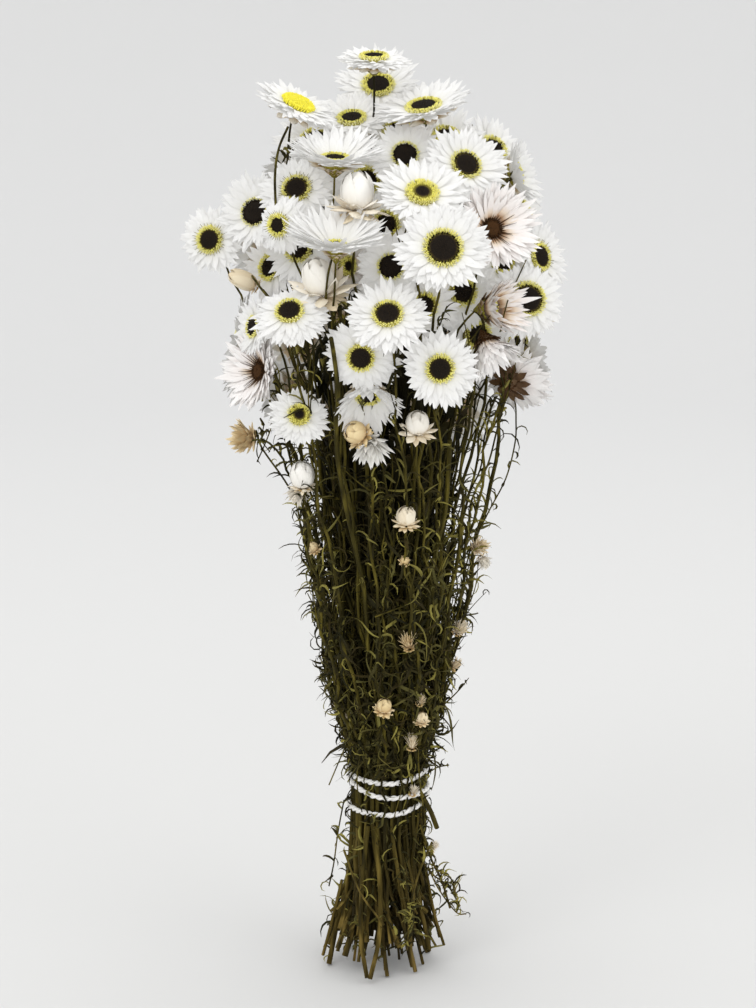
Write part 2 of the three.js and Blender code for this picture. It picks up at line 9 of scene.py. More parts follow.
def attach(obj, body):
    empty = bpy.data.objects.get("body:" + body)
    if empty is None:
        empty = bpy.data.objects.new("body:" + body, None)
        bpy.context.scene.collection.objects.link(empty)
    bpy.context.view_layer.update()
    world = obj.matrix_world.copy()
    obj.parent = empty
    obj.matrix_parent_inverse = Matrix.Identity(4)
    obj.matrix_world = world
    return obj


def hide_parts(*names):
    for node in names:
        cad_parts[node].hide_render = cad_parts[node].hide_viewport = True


# The looks of a dried everlasting daisy bunch. Sizes are millimetres, and places are counted from the
# middle of the foot, on the surface that the bunch stands on. STAND moves them to the frame's origin, and
# MM to metres.

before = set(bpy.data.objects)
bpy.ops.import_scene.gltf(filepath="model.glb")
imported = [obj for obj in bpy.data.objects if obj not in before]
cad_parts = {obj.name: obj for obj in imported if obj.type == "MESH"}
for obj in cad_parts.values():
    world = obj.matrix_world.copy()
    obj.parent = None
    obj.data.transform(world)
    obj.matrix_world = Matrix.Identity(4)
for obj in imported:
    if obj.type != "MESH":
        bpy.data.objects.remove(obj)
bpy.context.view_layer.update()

MM = 0.001
STAND = np.array((5.139, 8.031, 0.0))
GOLDEN_ANGLE = pi * (3 - sqrt(5))
UP = Vector((0, 0, 1))

# The photograph's camera: a pixel and a depth in front of the bunch's axis give a place.
CAMERA = dict(x=-2.7, distance=1150, height=480, aim=260, focal=2167, centre=(378, 504), picture=1008)

# The middle of the waist, where the twine holds the stems, and how far they run straight above and below
# it.
TIE = Vector((3, 0, 101))
GRIP = 16
WAIST_RADIUS = 19.1
FOOT_RADIUS = 33
SHORTEST_CUT = 22
LEG_TWIST = 0.4
OUTER_STEMS = 30
BELLY_RADIUS = 42
BELLY_SHARE = 0.26
NECK_LENGTH = 30
DISC_SHARE = 0.35


def bloom(x, y, depth, span, turn, rise, lift=4, dark=0.7, **more):
    return dict(at=(x, y), depth=depth, span=span, face=(turn, rise), lift=lift, dark=dark, **more)


def bud(x, y, depth, tan, **more):
    return dict(at=(x, y), depth=depth, tan=tan, **more)


def twig(thick, step, depth, *route):
    return dict(thick=thick, step=step, depth=depth, route=route)


# Open heads on the photographed side: the disc's pixel, how far in front of the axis it lies, the width
# across its bracts, where it looks in degrees to the right of the viewer and above level, how steeply its
# bracts rise, and the dark middle's share of the disc. disc: its share of the width. age: how far the
# bracts have browned. spiky: florets that stand out round the disc. spent: a browned disc with long ones.
FRONT_HEADS = [
    bloom(374, 60, 8, 42, 0, 74, -4, 0.66),
    bloom(378, 87, -24, 50, 0, 45, 6, 0.66),
    bloom(297, 106, 25, 49, 48, 58, -2, 0.0),
    bloom(352, 121, 2, 44, -8, 62, 6, 0.68),
    bloom(424, 109, 20, 54, -22, 66, 8, 0.68),
    bloom(335, 162, 52, 50, 10, 75, 21, 0.7, disc=0.3),
    bloom(405, 156, 30, 40, 0, 30, 6, 0.84),
    bloom(422, 195, 72, 48, 8, 47, 4, 0.58),
    bloom(465, 166, 45, 46, 22, 32, 6, 0.82),
    bloom(514, 175, 12, 38, 70, 14, 28, 0.5),
    bloom(297, 190, 44, 42, -12, 32, -8, 0.8, spiky=True),
    bloom(256, 213, 30, 42, -24, 20, 8, 0.88),
    bloom(280, 225, 60, 32, -28, 0, -38, 0.62, spiky=True),
    bloom(336, 248, 84, 55, 4, 76, 19, 0.3, disc=0.17),
    bloom(443, 249, 95, 49, 4, 22, 6, 0.79, disc=0.4),
    bloom(491, 229, 60, 46, 22, 16, 26, 1.0, disc=0.22, age=0.8, spent=True),
    bloom(538, 257, 22, 42, 48, 12, 8, 0.75, spiky=True),
    bloom(391, 267, 62, 38, -6, 12, 4, 0.84),
    bloom(211, 240, 18, 37, -20, 9, -8, 0.74, disc=0.38, spiky=True),
    bloom(345, 266, 52, 30, 38, 4, 18, 0.5, age=0.5),
    bloom(290, 313, 84, 41, -8, 43, -20, 0.76),
    bloom(256, 327, 44, 32, -58, 10, 8, 0.8),
    bloom(388, 316, 100, 44, -5, 40, -6, 0.77),
    bloom(527, 300, 54, 43, 14, 20, -20, 0.79, disc=0.43),
    bloom(488, 309, 66, 30, 60, 8, 50, 0.1, age=1.2),
    bloom(487, 344, 70, 31, 38, -56, 44, 1.0, disc=0.3, age=0.3, spent=True),
    bloom(440, 369, 92, 41, 0, 9, 4, 0.73),
    bloom(511, 381, 34, 42, 144, 22, 18, 1.0, disc=0.3, age=0.25, spent=True),
    bloom(361, 357, 86, 40, -4, -6, -26, 0.72),
    bloom(368, 393, 66, 38, 2, -42, 40, 0.6),
    bloom(299, 416, 66, 33, 6, 28, -8, 0.56),
    bloom(261, 371, 40, 44, -50, 10, 20, 1.0, disc=0.22, age=0.6, spent=True),
]

# Heads deeper inside, seen only through the gaps between the others.
INNER_HEADS = [
    bloom(316, 142, 4, 46, -14, 46), bloom(398, 134, -2, 46, 0, 44), bloom(446, 140, 2, 46, 16, 48),
    bloom(492, 150, -6, 42, 34, 36), bloom(366, 182, 26, 44, 4, 30), bloom(300, 250, 26, 42, -22, 22),
    bloom(272, 268, 8, 40, -40, 12), bloom(418, 228, 38, 44, 6, 20), bloom(520, 214, -8, 42, 56, 20),
    bloom(424, 306, 52, 38, 4, 14), bloom(462, 292, 36, 42, 14, 8), bloom(476, 334, 30, 42, 24, -6),
    bloom(516, 342, 8, 42, 48, 4), bloom(350, 262, 40, 38, -4, 10), bloom(402, 104, -36, 44, 6, 60),
    bloom(334, 132, -16, 44, -20, 50), bloom(386, 226, 44, 42, -6, 24), bloom(318, 214, 40, 42, -20, 26),
    bloom(466, 210, 36, 44, 26, 30), bloom(500, 262, 26, 42, 40, 16),
]

# The far side, which the photograph doesn't show: rows of pairs of heads whose bracts have grown together.
FAR_ROWS = [
    dict(z=300, reach=66, look=-2, pairs=2, start=128, end=250),
    dict(z=345, reach=76, look=12, pairs=4, start=72, end=288),
    dict(z=398, reach=80, look=30, pairs=3, start=92, end=268),
    dict(z=446, reach=54, look=52, pairs=2, start=100, end=260),
]
FAR_HEAD = dict(apart=32, slant=0.6, sway=7, turn=9)

# Closed heads: a pixel, a depth and how far they have browned, then an egg of broad bracts over a collar of
# short outer ones, or a tuft of narrow bracts. close: how far the tuft or collar is open.
CLOSED_HEADS = [
    bud(357, 210, 62, 0.04, width=16, height=20, collar=38, face=(10, 84)),
    bud(322, 294, 70, 0.1, width=15, height=20, collar=42, face=(-30, 66)),
    bud(256, 286, 22, 0.6, width=9, height=16, collar=11, face=(-88, 26)),
    bud(303, 486, 50, 0.05, width=12, height=14, collar=15, face=(-10, 72)),
    bud(361, 436, 66, 0.9, width=11, height=10, collar=17, face=(-50, 30)),
    bud(371, 440, 62, 0.0, width=8, height=14, face=(4, -48), tuft=0.3),
    bud(417, 432, 68, 0.15, width=11, height=12, collar=21, face=(4, 66)),
    bud(406, 524, 56, 0.45, width=9.5, height=10, collar=16, face=(4, 74)),
    bud(253, 438, 18, 0.8, width=12, height=13, face=(-74, 4), tuft=0.3),
]

# Small buds on side shoots along the lower stems, each with its size.
SMALL_BUDS = [
    bud(405, 560, 50, 0.95, size=5),
    bud(313, 547, 36, 0.85, size=6),
    bud(298, 494, 44, 0.2, size=11, tuft=0.26, face=(-30, -40)),
    bud(480, 546, 16, 0.6, size=9, tuft=0.24, face=(60, 30)),
    bud(484, 562, 16, 0.15, size=7, tuft=0.3, face=(60, -50)),
    bud(408, 642, 40, 0.85, size=10, tuft=0.14, close=0.6, face=(-24, 66)),
    bud(384, 706, 34, 0.9, size=9, face=(20, 62)),
    bud(421, 700, 28, 0.6, size=6, tuft=0.14, close=0.5),
    bud(422, 718, 27, 0.7, size=7, face=(30, 70)),
    bud(412, 742, 25, 0.55, size=9, tuft=0.12, close=0.4, face=(0, 80)),
    bud(456, 664, 12, 0.6, size=7, tuft=0.14, close=0.6),
    bud(460, 628, 14, 0.45, size=9, tuft=0.2, close=0.7, face=(60, 50)),
    bud(338, 706, 12, 0.5, size=6, tuft=0.14, close=0.6),
    bud(348, 718, 18, 0.5, size=6, tuft=0.14, close=0.6),
    bud(414, 790, 21, 0.3, size=6, tuft=0.14, close=0.5),
    bud(434, 846, 10, 0.3, size=6, tuft=0.14, close=0.6),
]

# Twigs that the photograph shows one by one: how thick they are, the distance between their leaves or 0 for
# none, their depth at either end, and the pixels they pass.
TWIGS = [
    twig(0.7, 0, (24, 56), (288, 127), (279, 148), (275, 175), (276, 214)),
    twig(0.65, 0, (24, 60), (252, 276), (263, 291), (276, 306)),
    twig(0.6, 0, (84, 74), (333, 255), (328, 275), (326, 298), (327, 322)),
    twig(0.36, 30, (44, 74), (526, 260), (517, 280), (508, 300), (500, 332)),
    twig(0.4, 0, (72, 68), (395, 220), (397, 233), (401, 247)),
    twig(0.4, 0, (72, 68), (407, 226), (403, 240), (401, 250)),
    twig(0.42, 12, (30, 10), (509, 387), (515, 402), (516, 420), (515, 443), (506, 478), (489, 511),
         (472, 546), (464, 575)),
    twig(0.5, 9, (34, 14), (509, 389), (503, 408), (496, 434), (488, 464), (472, 500), (469, 532),
         (461, 572)),
    twig(0.45, 9, (34, 20), (492, 405), (484, 440), (480, 470), (462, 510), (458, 560)),
    twig(0.5, 9, (18, 24), (256, 430), (262, 448), (285, 481), (296, 503), (302, 535)),
    twig(1.15, 14, (94, 34), (331, 338), (334, 356), (338, 392), (336, 424), (338, 462), (344, 499),
         (355, 548), (364, 590), (368, 650)),
    twig(0.5, 1.5, (66, 78), (333, 372), (340, 340), (346, 314), (350, 294)),
    twig(0.4, 1.8, (60, 74), (322, 372), (329, 340), (336, 312)),
    twig(0.4, 1.3, (70, 78), (436, 345), (440, 325), (447, 306)),
    twig(0.5, 1.0, (30, 34), (281, 168), (286, 156), (296, 148), (308, 144)),
    twig(0.5, 1.0, (16, 22), (500, 190), (508, 178), (516, 168)),
    twig(0.35, 2.0, (26, 24), (257, 462), (265, 444), (272, 426)),
    twig(0.3, 2.0, (26, 22), (270, 452), (262, 440), (264, 424)),
    twig(1.35, 0, (17, 37), (368, 826), (362, 885), (361, 938), (367, 978)),
    twig(1.45, 0, (17, 37), (374, 826), (380, 885), (379, 938), (370, 979)),
    twig(0.6, 14, (26, 33), (344, 850), (360, 892), (384, 925)),
    twig(0.6, 14, (18, 30), (432, 842), (420, 870), (410, 905)),
    twig(1.3, 12, (46, 28), (450, 440), (446, 505), (437, 548), (429, 600), (427, 660)),
    twig(0.38, 0, (46, 34), (375, 617), (410, 604), (447, 593)),
    twig(1.4, 0, (14, 10), (420, 792), (430, 810), (437, 828)),
    twig(0.4, 0, (10, 8), (346, 745), (337, 766), (329, 785)),
    twig(0.85, 0, (10, 8), (426, 870), (434, 912), (444, 945)),
    twig(0.95, 0, (10, 6), (342, 880), (331, 925), (323, 955)),
    twig(0.6, 1.9, (14, 4), (420, 825), (430, 856), (442, 882), (450, 908)),
    twig(0.5, 1.7, (12, 2), (416, 850), (430, 872), (448, 886), (460, 906)),
    twig(0.4, 1.8, (14, 6), (424, 842), (436, 868), (452, 880), (456, 896)),
    twig(0.4, 2.2, (10, 0), (428, 866), (438, 888), (456, 912), (466, 914)),
    twig(0.5, 1.2, (30, 32), (404, 872), (409, 905), (407, 950)),
    twig(0.4, 2.0, (10, 4), (344, 800), (338, 832), (334, 862), (329, 886)),
    twig(0.35, 1.6, (14, 8), (422, 778), (436, 768), (449, 765)),
    twig(0.45, 4, (20, 22), (418, 740), (419, 772), (423, 806)),
    twig(0.35, 5, (19, 23), (361, 748), (357, 782), (362, 812)),
    twig(0.3, 6, (23, 26), (396, 750), (402, 783), (394, 818)),
]


def share(number, salt=0):
    """A repeatable share between 0 and 1 for each whole number and salt."""
    wave = sin(number * 12.9898 + salt * 78.233 + 4.1) * 43758.5453
    return wave - floor(wave)


def polar(turn, reach=1, z=0, x=0):
    """A place or way at this angle and distance from the upright line through x."""
    return Vector((x + cos(turn) * reach, sin(turn) * reach, z))


def turn_of(place):
    """The angle round the tie's middle at which a place lies."""
    return atan2(place.y, place.x - TIE.x)


def place_of(pixel, depth):
    """Where the line of sight through a pixel meets the upright plane at this depth."""
    pitch = atan((CAMERA["height"] - CAMERA["aim"]) / CAMERA["distance"])
    right, down = ((pixel[axis] - CAMERA["centre"][axis]) / CAMERA["focal"] for axis in range(2))
    reach = (CAMERA["distance"] - depth) / (cos(pitch) - down * sin(pitch))
    rise = -sin(pitch) - down * cos(pitch)
    return Vector((CAMERA["x"] + right * reach, -depth, CAMERA["height"] + rise * reach))


def bearing(turn, rise):
    """A unit vector that looks this many degrees to the right of the viewer and above level."""
    turn, rise = radians(turn), radians(rise)
    return Vector((sin(turn) * cos(rise), -cos(turn) * cos(rise), sin(rise)))


def posed(heads, first, **more):
    """Heads with their places, the ways they face and their turns, spun so that no two match."""
    for number, head in enumerate(heads, first):
        facing = bearing(*head["face"])
        turn = UP.rotation_difference(facing) @ Quaternion(UP, number * GOLDEN_ANGLE)
        middle = head.get("middle") or place_of(head["at"], head["depth"])
        head.update(more, number=number, facing=facing, middle=middle, turn=np.array(turn.to_matrix()))
    return heads


def far_heads():
    heads = []
    for row in FAR_ROWS:
        for pair in range(row["pairs"]):
            aim_at = row["start"] + (row["end"] - row["start"]) * (pair + 0.5) / row["pairs"]
            facing = bearing(aim_at, row["look"])
            level = Vector((-facing.y, facing.x, 0)).normalized()
            along = Quaternion(facing, FAR_HEAD["slant"] * (2 * share(aim_at, 31) - 1)) @ level
            centre = bearing(aim_at, 0) * (row["reach"] + FAR_HEAD["sway"] * (share(aim_at, 32) - 0.5))
            centre += Vector((TIE.x / 2, 0, row["z"] + FAR_HEAD["sway"] * (2 * share(aim_at, 33) - 1)))
            for side in (-0.5, 0.5):
                heads.append(dict(middle=centre + along * (side * FAR_HEAD["apart"]), span=50, lift=7,
                                  face=(aim_at + side * FAR_HEAD["turn"], row["look"]),
                                  dark=0.55 + 0.28 * share(len(heads), 34)))
    return heads


BARE_SHOOTS = dict(count=5, z=268, reach=50)


def bare_shoots():
    """Shoots without a head, which end below the heads."""
    shoots = []
    for i in range(BARE_SHOOTS["count"]):
        turn = i * GOLDEN_ANGLE * 2 + 0.6
        reach = BARE_SHOOTS["reach"] * (0.8 + 0.3 * share(i, 21))
        middle = polar(turn, reach, BARE_SHOOTS["z"] + 30 * share(i, 22))
        shoots.append(dict(middle=middle, facing=polar(turn, 0.3, 1).normalized(), number=300 + i))
    return shoots


def disc_radius(head):
    return head["span"] / 2 * head.get("disc", DISC_SHARE)


def all_off():
    """Deselects everything, because an operator acts on all that is selected."""
    if bpy.context.object and bpy.context.object.mode != "OBJECT":
        bpy.ops.object.mode_set(mode="OBJECT")
    bpy.ops.object.select_all(action="DESELECT")


def pick(test, places=None):
    """In edit mode, selects just the vertices that pass the test, by where they are or by their place in
    a grid."""
    mesh = bpy.context.edit_object.data
    edit = bmesh.from_edit_mesh(mesh)
    for element in (*edit.faces, *edit.edges, *edit.verts):
        element.select = False
    for vertex in edit.verts:
        vertex.select = bool(test(*places[vertex.index]) if places else test(vertex.co))
    edit.select_flush(True)
    bmesh.update_edit_mesh(mesh)


def resize(x, y, z, centre=(0, 0, 0)):
    bpy.ops.transform.resize(value=(x, y, z), center_override=centre)


def begin(primitive, edit=True, **settings):
    """Adds a primitive, with its place and turn applied to its points."""
    all_off()
    primitive(**settings)
    bpy.ops.object.transform_apply(location=True, rotation=True)
    if edit:
        bpy.ops.object.mode_set(mode="EDIT")


def read(items, name, width, kind=float):
    """One property of all of a mesh's items, as an array."""
    values = np.empty(len(items) * width, dtype=kind)
    items.foreach_get(name, values)
    return values


class Master:
    """A piece that is modelled once and then copied: its points, its faces and its UVs. A flat one's UVs
    are its places across and along."""

    def __init__(self, flat=False):
        bpy.ops.object.mode_set(mode="OBJECT")
        mesh = bpy.context.object.data
        self.points = read(mesh.vertices, "co", 3).reshape(-1, 3)
        self.corners = read(mesh.loops, "vertex_index", 1, np.int32)
        self.starts = read(mesh.polygons, "loop_start", 1, np.int32)
        self.uv = read(mesh.uv_layers.active.data, "uv", 2)
        if flat:
            self.uv = (self.points[self.corners][:, :2] + (0.5, 0)).ravel()
        bpy.ops.object.delete()
        bpy.data.meshes.remove(mesh)


def blade(outline, ends, folds, thickness):
    """A thin blade along +Y with sharp edges, 1 long and 1 wide: outline holds its width at each row,
    ends how far each column stops short of the tip, and folds how high each column stands."""
    columns, rows = len(folds) - 1, len(outline) - 1
    begin(bpy.ops.mesh.primitive_grid_add, edit=False, x_subdivisions=columns, y_subdivisions=rows, size=1,
          location=(0, 0.5, 0))
    solid = bpy.context.object.modifiers.new("solid", "SOLIDIFY")
    solid.thickness = thickness
    solid.offset = 0
    bpy.ops.object.modifier_apply(modifier=solid.name)
    bpy.ops.object.mode_set(mode="EDIT")
    pick(lambda co: abs(co.x) > 0.49 or abs(co.y - 0.5) > 0.49)
    resize(1, 1, 0)
    bpy.ops.mesh.remove_doubles(threshold=1e-5)
    edit = bmesh.from_edit_mesh(bpy.context.edit_object.data)
    places = [(round((vertex.co.x + 0.5) * columns), round(vertex.co.y * rows)) for vertex in edit.verts]
    for row, width in enumerate(outline):
        pick(lambda column, place: place == row, places)
        resize(width, 1, 1)
    for column, height in enumerate(folds):
        moves = ((range(rows + 1), (0, 0, height)), ((rows,), (0, -ends[column], 0)),
                 ((rows - 1,), (0, -ends[column] * 0.45, 0)))
        for chosen, step in moves:
            pick(lambda place, row: place == column and row in chosen, places)
            bpy.ops.transform.translate(value=step)
    return Master()


def rolled_leaf(outline):
    """A dry leaf rolled to three sides, along +Y, 1 long and 1 wide: outline holds its width at each
    ring."""
    rings = len(outline) - 1
    begin(bpy.ops.mesh.primitive_cone_add, vertices=3, radius1=0.5, radius2=0.1, depth=1,
          location=(0, 0.5, 0), rotation=(-pi / 2, 0, 0))
    for ring in range(1, rings):
        bpy.ops.mesh.select_all(action="SELECT")
        bpy.ops.mesh.bisect(plane_co=(0, ring / rings, 0), plane_no=(0, 1, 0))
    for ring, width in enumerate(outline):
        pick(lambda co: abs(co.y - ring / rings) < 0.01)
        now = 2 * (0.5 - 0.4 * ring / rings)
        resize(width / now, 1, width / now * 0.45)
    return Master(flat=True)


def knob(base, top, height):
    """A floret: a small cone along +Z on its base."""
    begin(bpy.ops.mesh.primitive_cone_add, vertices=4, radius1=base, radius2=top, depth=height,
          location=(0, 0, height / 2))
    return Master()


def receptacle_master():
    """The cup that carries a head's bracts, and the dome that its florets stand on. Its radius is 1."""
    begin(bpy.ops.mesh.primitive_cone_add, vertices=16, radius1=0.16, radius2=0.9, depth=5.6,
          location=(0, 0, -5.2))
    pick(lambda co: co.z > -3)
    for radius, rise in ((0.96, 2.9), (0.84, 1.5), (0.6, 0.75), (0.3, 0.25)):
        bpy.ops.mesh.extrude_region_move(TRANSFORM_OT_translate={"value": (0, 0, rise)})
        edit = bmesh.from_edit_mesh(bpy.context.edit_object.data)
        now = max(hypot(vertex.co.x, vertex.co.y) for vertex in edit.verts if vertex.select)
        resize(radius / now, radius / now, 1)
    bpy.ops.mesh.poke()
    return Master()


def egg_master():
    """The closed inside of a bud, 1 wide and 1 high, on its base."""
    begin(bpy.ops.mesh.primitive_uv_sphere_add, segments=12, ring_count=8, radius=0.5, location=(0, 0, 0.5))
    pick(lambda co: co.z > 0.6)
    resize(0.86, 0.86, 1, centre=(0, 0, 0.5))
    return Master()


BRACT = dict(outline=(0.5, 0.88, 1.0, 0.88, 0.36), thickness=0.041)
BRACT_MASTERS = [
    blade(**BRACT, ends=(0.11, 0.0, 0.09), folds=(-0.07, 0.05, -0.07)),
    blade(**BRACT, ends=(0.06, 0.0, 0.13), folds=(-0.05, 0.04, -0.08)),
    blade(**BRACT, ends=(0.14, 0.0, 0.05), folds=(0.04, -0.04, 0.05)),
]
SCALE = blade(outline=(0.6, 0.98, 0.95, 0.4), ends=(0.16, 0.0, 0.14), folds=(-0.1, 0.06, -0.1),
              thickness=0.059)
SHELL = blade(outline=(0.45, 0.86, 1.0, 0.84, 0.3), ends=(0.12, 0.04, 0.0, 0.05, 0.13),
              folds=(-0.14, -0.03, 0.0, -0.03, -0.14), thickness=0.022)
CLOSING = blade(outline=(0.75, 0.96, 1.0, 0.9, 0.66, 0.22), ends=(0.05, 0.01, 0.0, 0.02, 0.06),
                folds=(0.0, 0.01, 0.015, 0.01, 0.0), thickness=0.024)
LEAF = rolled_leaf(outline=(0.55, 0.95, 1.0, 0.85, 0.55, 0.12))
WAVY_LEAF = rolled_leaf(outline=(0.5, 0.8, 1.0, 1.0, 0.95, 0.8, 0.6, 0.35, 0.1))
DARK_FLORET = knob(base=0.62, top=0.0, height=0.95)
YELLOW_FLORET = knob(base=0.4, top=0.3, height=1.2)
SPIKE = knob(base=0.3, top=0.06, height=1.0)
RECEPTACLE = receptacle_master()
EGG = egg_master()


def new_object(name, data):
    """Adds an object to the scene, selected and active."""
    piece = bpy.data.objects.new(name, data)
    bpy.context.scene.collection.objects.link(piece)
    all_off()
    piece.select_set(True)
    bpy.context.view_layer.objects.active = piece
    return piece


def finish_piece(piece, look, node, smooth):
    """Smooths a piece, gives it its material, hangs it on the root body and hides the model.glb part that it
    stands for."""
    bpy.ops.object.shade_smooth_by_angle(angle=radians(smooth))
    piece.data.materials.append(look)
    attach(piece, "root")
    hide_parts(node)


class Copies:
    """Placed copies of masters that become one mesh. tone and age are told for each copy, or for each
    point."""

    def __init__(self):
        self.parts = []
        self.count = self.corner_count = 0

    def add(self, master, points, tone=0.5, age=0.0):
        tones, ages = (np.broadcast_to(value, len(points)) for value in (tone, age))
        corners, starts = master.corners + self.count, master.starts + self.corner_count
        self.parts.append((points, corners, starts, master.uv, tones, ages))
        self.count += len(points)
        self.corner_count += len(corners)

    def build(self, name, look, slot="stem_olive", node="leafy_stems", smooth=40):
        points, corners, starts, uv, tones, ages = (np.concatenate(column) for column in zip(*self.parts))
        mesh = bpy.data.meshes.new(name)
        mesh.vertices.add(self.count)
        mesh.vertices.foreach_set("co", ((points + STAND) * MM).ravel())
        mesh.loops.add(self.corner_count)
        mesh.loops.foreach_set("vertex_index", corners)
        mesh.polygons.add(len(starts))
        mesh.polygons.foreach_set("loop_start", starts)
        mesh.update(calc_edges=True)
        mesh.uv_layers.new(name="UVMap").data.foreach_set("uv", uv)
        for attribute, values in (("tone", tones), ("age", ages)):
            layer = mesh.attributes.new(attribute, "FLOAT", "POINT")
            layer.data.foreach_set("value", values.astype(np.float32))
        finish_piece(new_object(name, mesh), look, node, smooth)


WAVES = 7.5


def laid(master, length, width, slope, curl, twist=0.0, sway=0.0, wave=0.0):
    """A blade's points after it leaves its root at this slope, and curls, twists, sways and waves towards
    its tip. x runs across it, y away from its root, z up."""
    x, y, z = master.points.T
    curl = curl if abs(curl) > 1e-3 else 1e-3
    angle = slope + curl * y
    out = (np.sin(angle) - sin(slope)) / curl * length
    up = (cos(slope) - np.cos(angle)) / curl * length
    turn = twist * y
    across = width * (x * np.cos(turn) - z * np.sin(turn)) + sway * length * y * y
    across = across + wave * np.sin(y * WAVES + twist)
    normal = width * (x * np.sin(turn) + z * np.cos(turn))
    up = up + wave * np.sin(y * WAVES * 0.8 + 2 * twist)
    return np.stack([across, out - np.sin(angle) * normal, up + np.cos(angle) * normal], 1)


def on_head(head, points):
    """From a head's own frame, whose z is the way it faces, to the bunch's."""
    return points @ head["turn"].T + np.array(head["middle"])


def around(head, points, angle, radius, height):
    """Places a blade that leaves a ring of this radius, at this angle round a head's axis."""
    x, y, z = points.T
    reach = y + radius
    return on_head(head, np.stack([x * sin(angle) + reach * cos(angle), reach * sin(angle) - x * cos(angle),
                                   z + height], 1))


def turns(random, count, jitter, start=0.0):
    """Angles all the way round, each a little off its place."""
    for i in range(count):
        yield 2 * pi * (i + random.uniform(-jitter, jitter)) / count + start


# Layers of an open head, from the disc outwards: how many bracts a head 50 wide has, their slope at the
# root and at the tip over the head's own lift in degrees, how far they reach, their width and the height of
# their root.
LAYERS = [
    dict(count=22, root=19, tip=8, reach=0.74, width=3.5, height=0.7),
    dict(count=30, root=13, tip=6, reach=0.9, width=3.7, height=0.3),
    dict(count=34, root=9, tip=3, reach=1.0, width=4.0, height=-0.1),
    dict(count=28, root=6, tip=1, reach=0.95, width=5.4, height=-0.4),
]
UNEVEN = dict(lift=5, reach=0.05)
DISC_DEPTH = 5


def cuts_disc(points, head):
    """Whether a bract with these points would come through the disc of this head."""
    across = (points - np.array(head["middle"])) @ head["turn"]
    near = np.hypot(across[:, 0], across[:, 1]) < disc_radius(head)
    return bool((near & (abs(across[:, 2]) < DISC_DEPTH)).any())


def add_bracts(copies, head, others):
    """The papery white bracts of one open head, in their layers, without those that would cut another's
    disc."""
    random = np.random.default_rng(head["number"])
    size = head["span"] / 50
    root = disc_radius(head) * 0.84
    sag = random.uniform(0, 2 * pi)
    for order, layer in enumerate(LAYERS):
        count = round(layer["count"] * (0.4 + 0.6 * size) * head.get("fullness", 1.0))
        for angle in turns(random, count, 0.3, order * 0.83):
            lift = head["lift"] + UNEVEN["lift"] * sin(angle + sag)
            slope = radians(lift + layer["root"] + random.normal(0, 2.2))
            curl = radians(layer["tip"] - layer["root"] + random.normal(0, 6))
            reach = head["span"] / 2 * layer["reach"] * random.uniform(0.86, 1.05)
            reach = reach * (1 + UNEVEN["reach"] * sin(2 * angle + sag)) - root
            length = reach / max(0.45, cos(slope + curl / 2))
            width = layer["width"] * size ** 0.5 * random.uniform(0.88, 1.15)
            master = BRACT_MASTERS[random.integers(len(BRACT_MASTERS))]
            points = laid(master, length, width, slope, curl, random.normal(0, 0.14), random.normal(0, 0.05))
            points = around(head, points, angle, root, layer["height"])
            tone = random.uniform()
            if not any(cuts_disc(points, other) for other in others):
                copies.add(master, points, tone, head.get("age", 0.0))


# Rows of short scales under an open head: count, root as a share of the disc's radius, root's height,
# slope, curl, length and width, and the share of the head's lift. The first row is the longest, against the
# bracts.
SCALE_ROWS = [
    dict(count=12, root=0.86, height=-2.2, slope=0, curl=-6, length=9.0, width=4.8, lift=0.9),
    dict(count=10, root=0.74, height=-3.2, slope=12, curl=-12, length=6.4, width=4.4, lift=0.7),
    dict(count=8, root=0.56, height=-4.6, slope=28, curl=-12, length=5.0, width=3.8, lift=0.5),
    dict(count=6, root=0.34, height=-6.2, slope=42, curl=-10, length=4.0, width=3.0, lift=0.3),
]


def add_scales(copies, head):
    random = np.random.default_rng(1000 + head["number"])
    radius = disc_radius(head)
    size = radius / 8
    for order, row in enumerate(SCALE_ROWS):
        for angle in turns(random, row["count"], 0.2, order * 0.5):
            slope = radians(row["slope"] + head["lift"] * row["lift"] + random.normal(0, 4))
            curl = radians(row["curl"] + random.normal(0, 8))
            length = row["length"] * size * random.uniform(0.85, 1.15)
            points = laid(SCALE, length, row["width"] * size, slope, curl, random.normal(0, 0.12))
            points = around(head, points, angle, radius * row["root"], row["height"])
            tone = random.uniform(0.2, 1) - (1.9 if "spent" in head else head.get("age", 0.0))
            copies.add(SCALE, points, tone, order / 3)


def dome_height(out):
    """How high the disc's dome stands at this share of its radius: a low crown with a raised ring."""
    return 1.4 + 1.5 * (1 - out * out) + 0.9 * exp(-(((out - 0.86) / 0.14) ** 2))


def upright(head, points, angle, radius, height, lean):
    """Stands a floret on a head's dome, leaning outwards."""
    x, y, z = points.T
    out = x * cos(lean) + z * sin(lean) + radius
    up = z * cos(lean) - x * sin(lean) + height
    return on_head(head, np.stack([out * cos(angle) - y * sin(angle),
                                   out * sin(angle) + y * cos(angle), up], 1))


DISC = dict(dark_pitch=0.95, yellow_pitch=0.76, sink=0.35, lean=0.75, spikes=34)


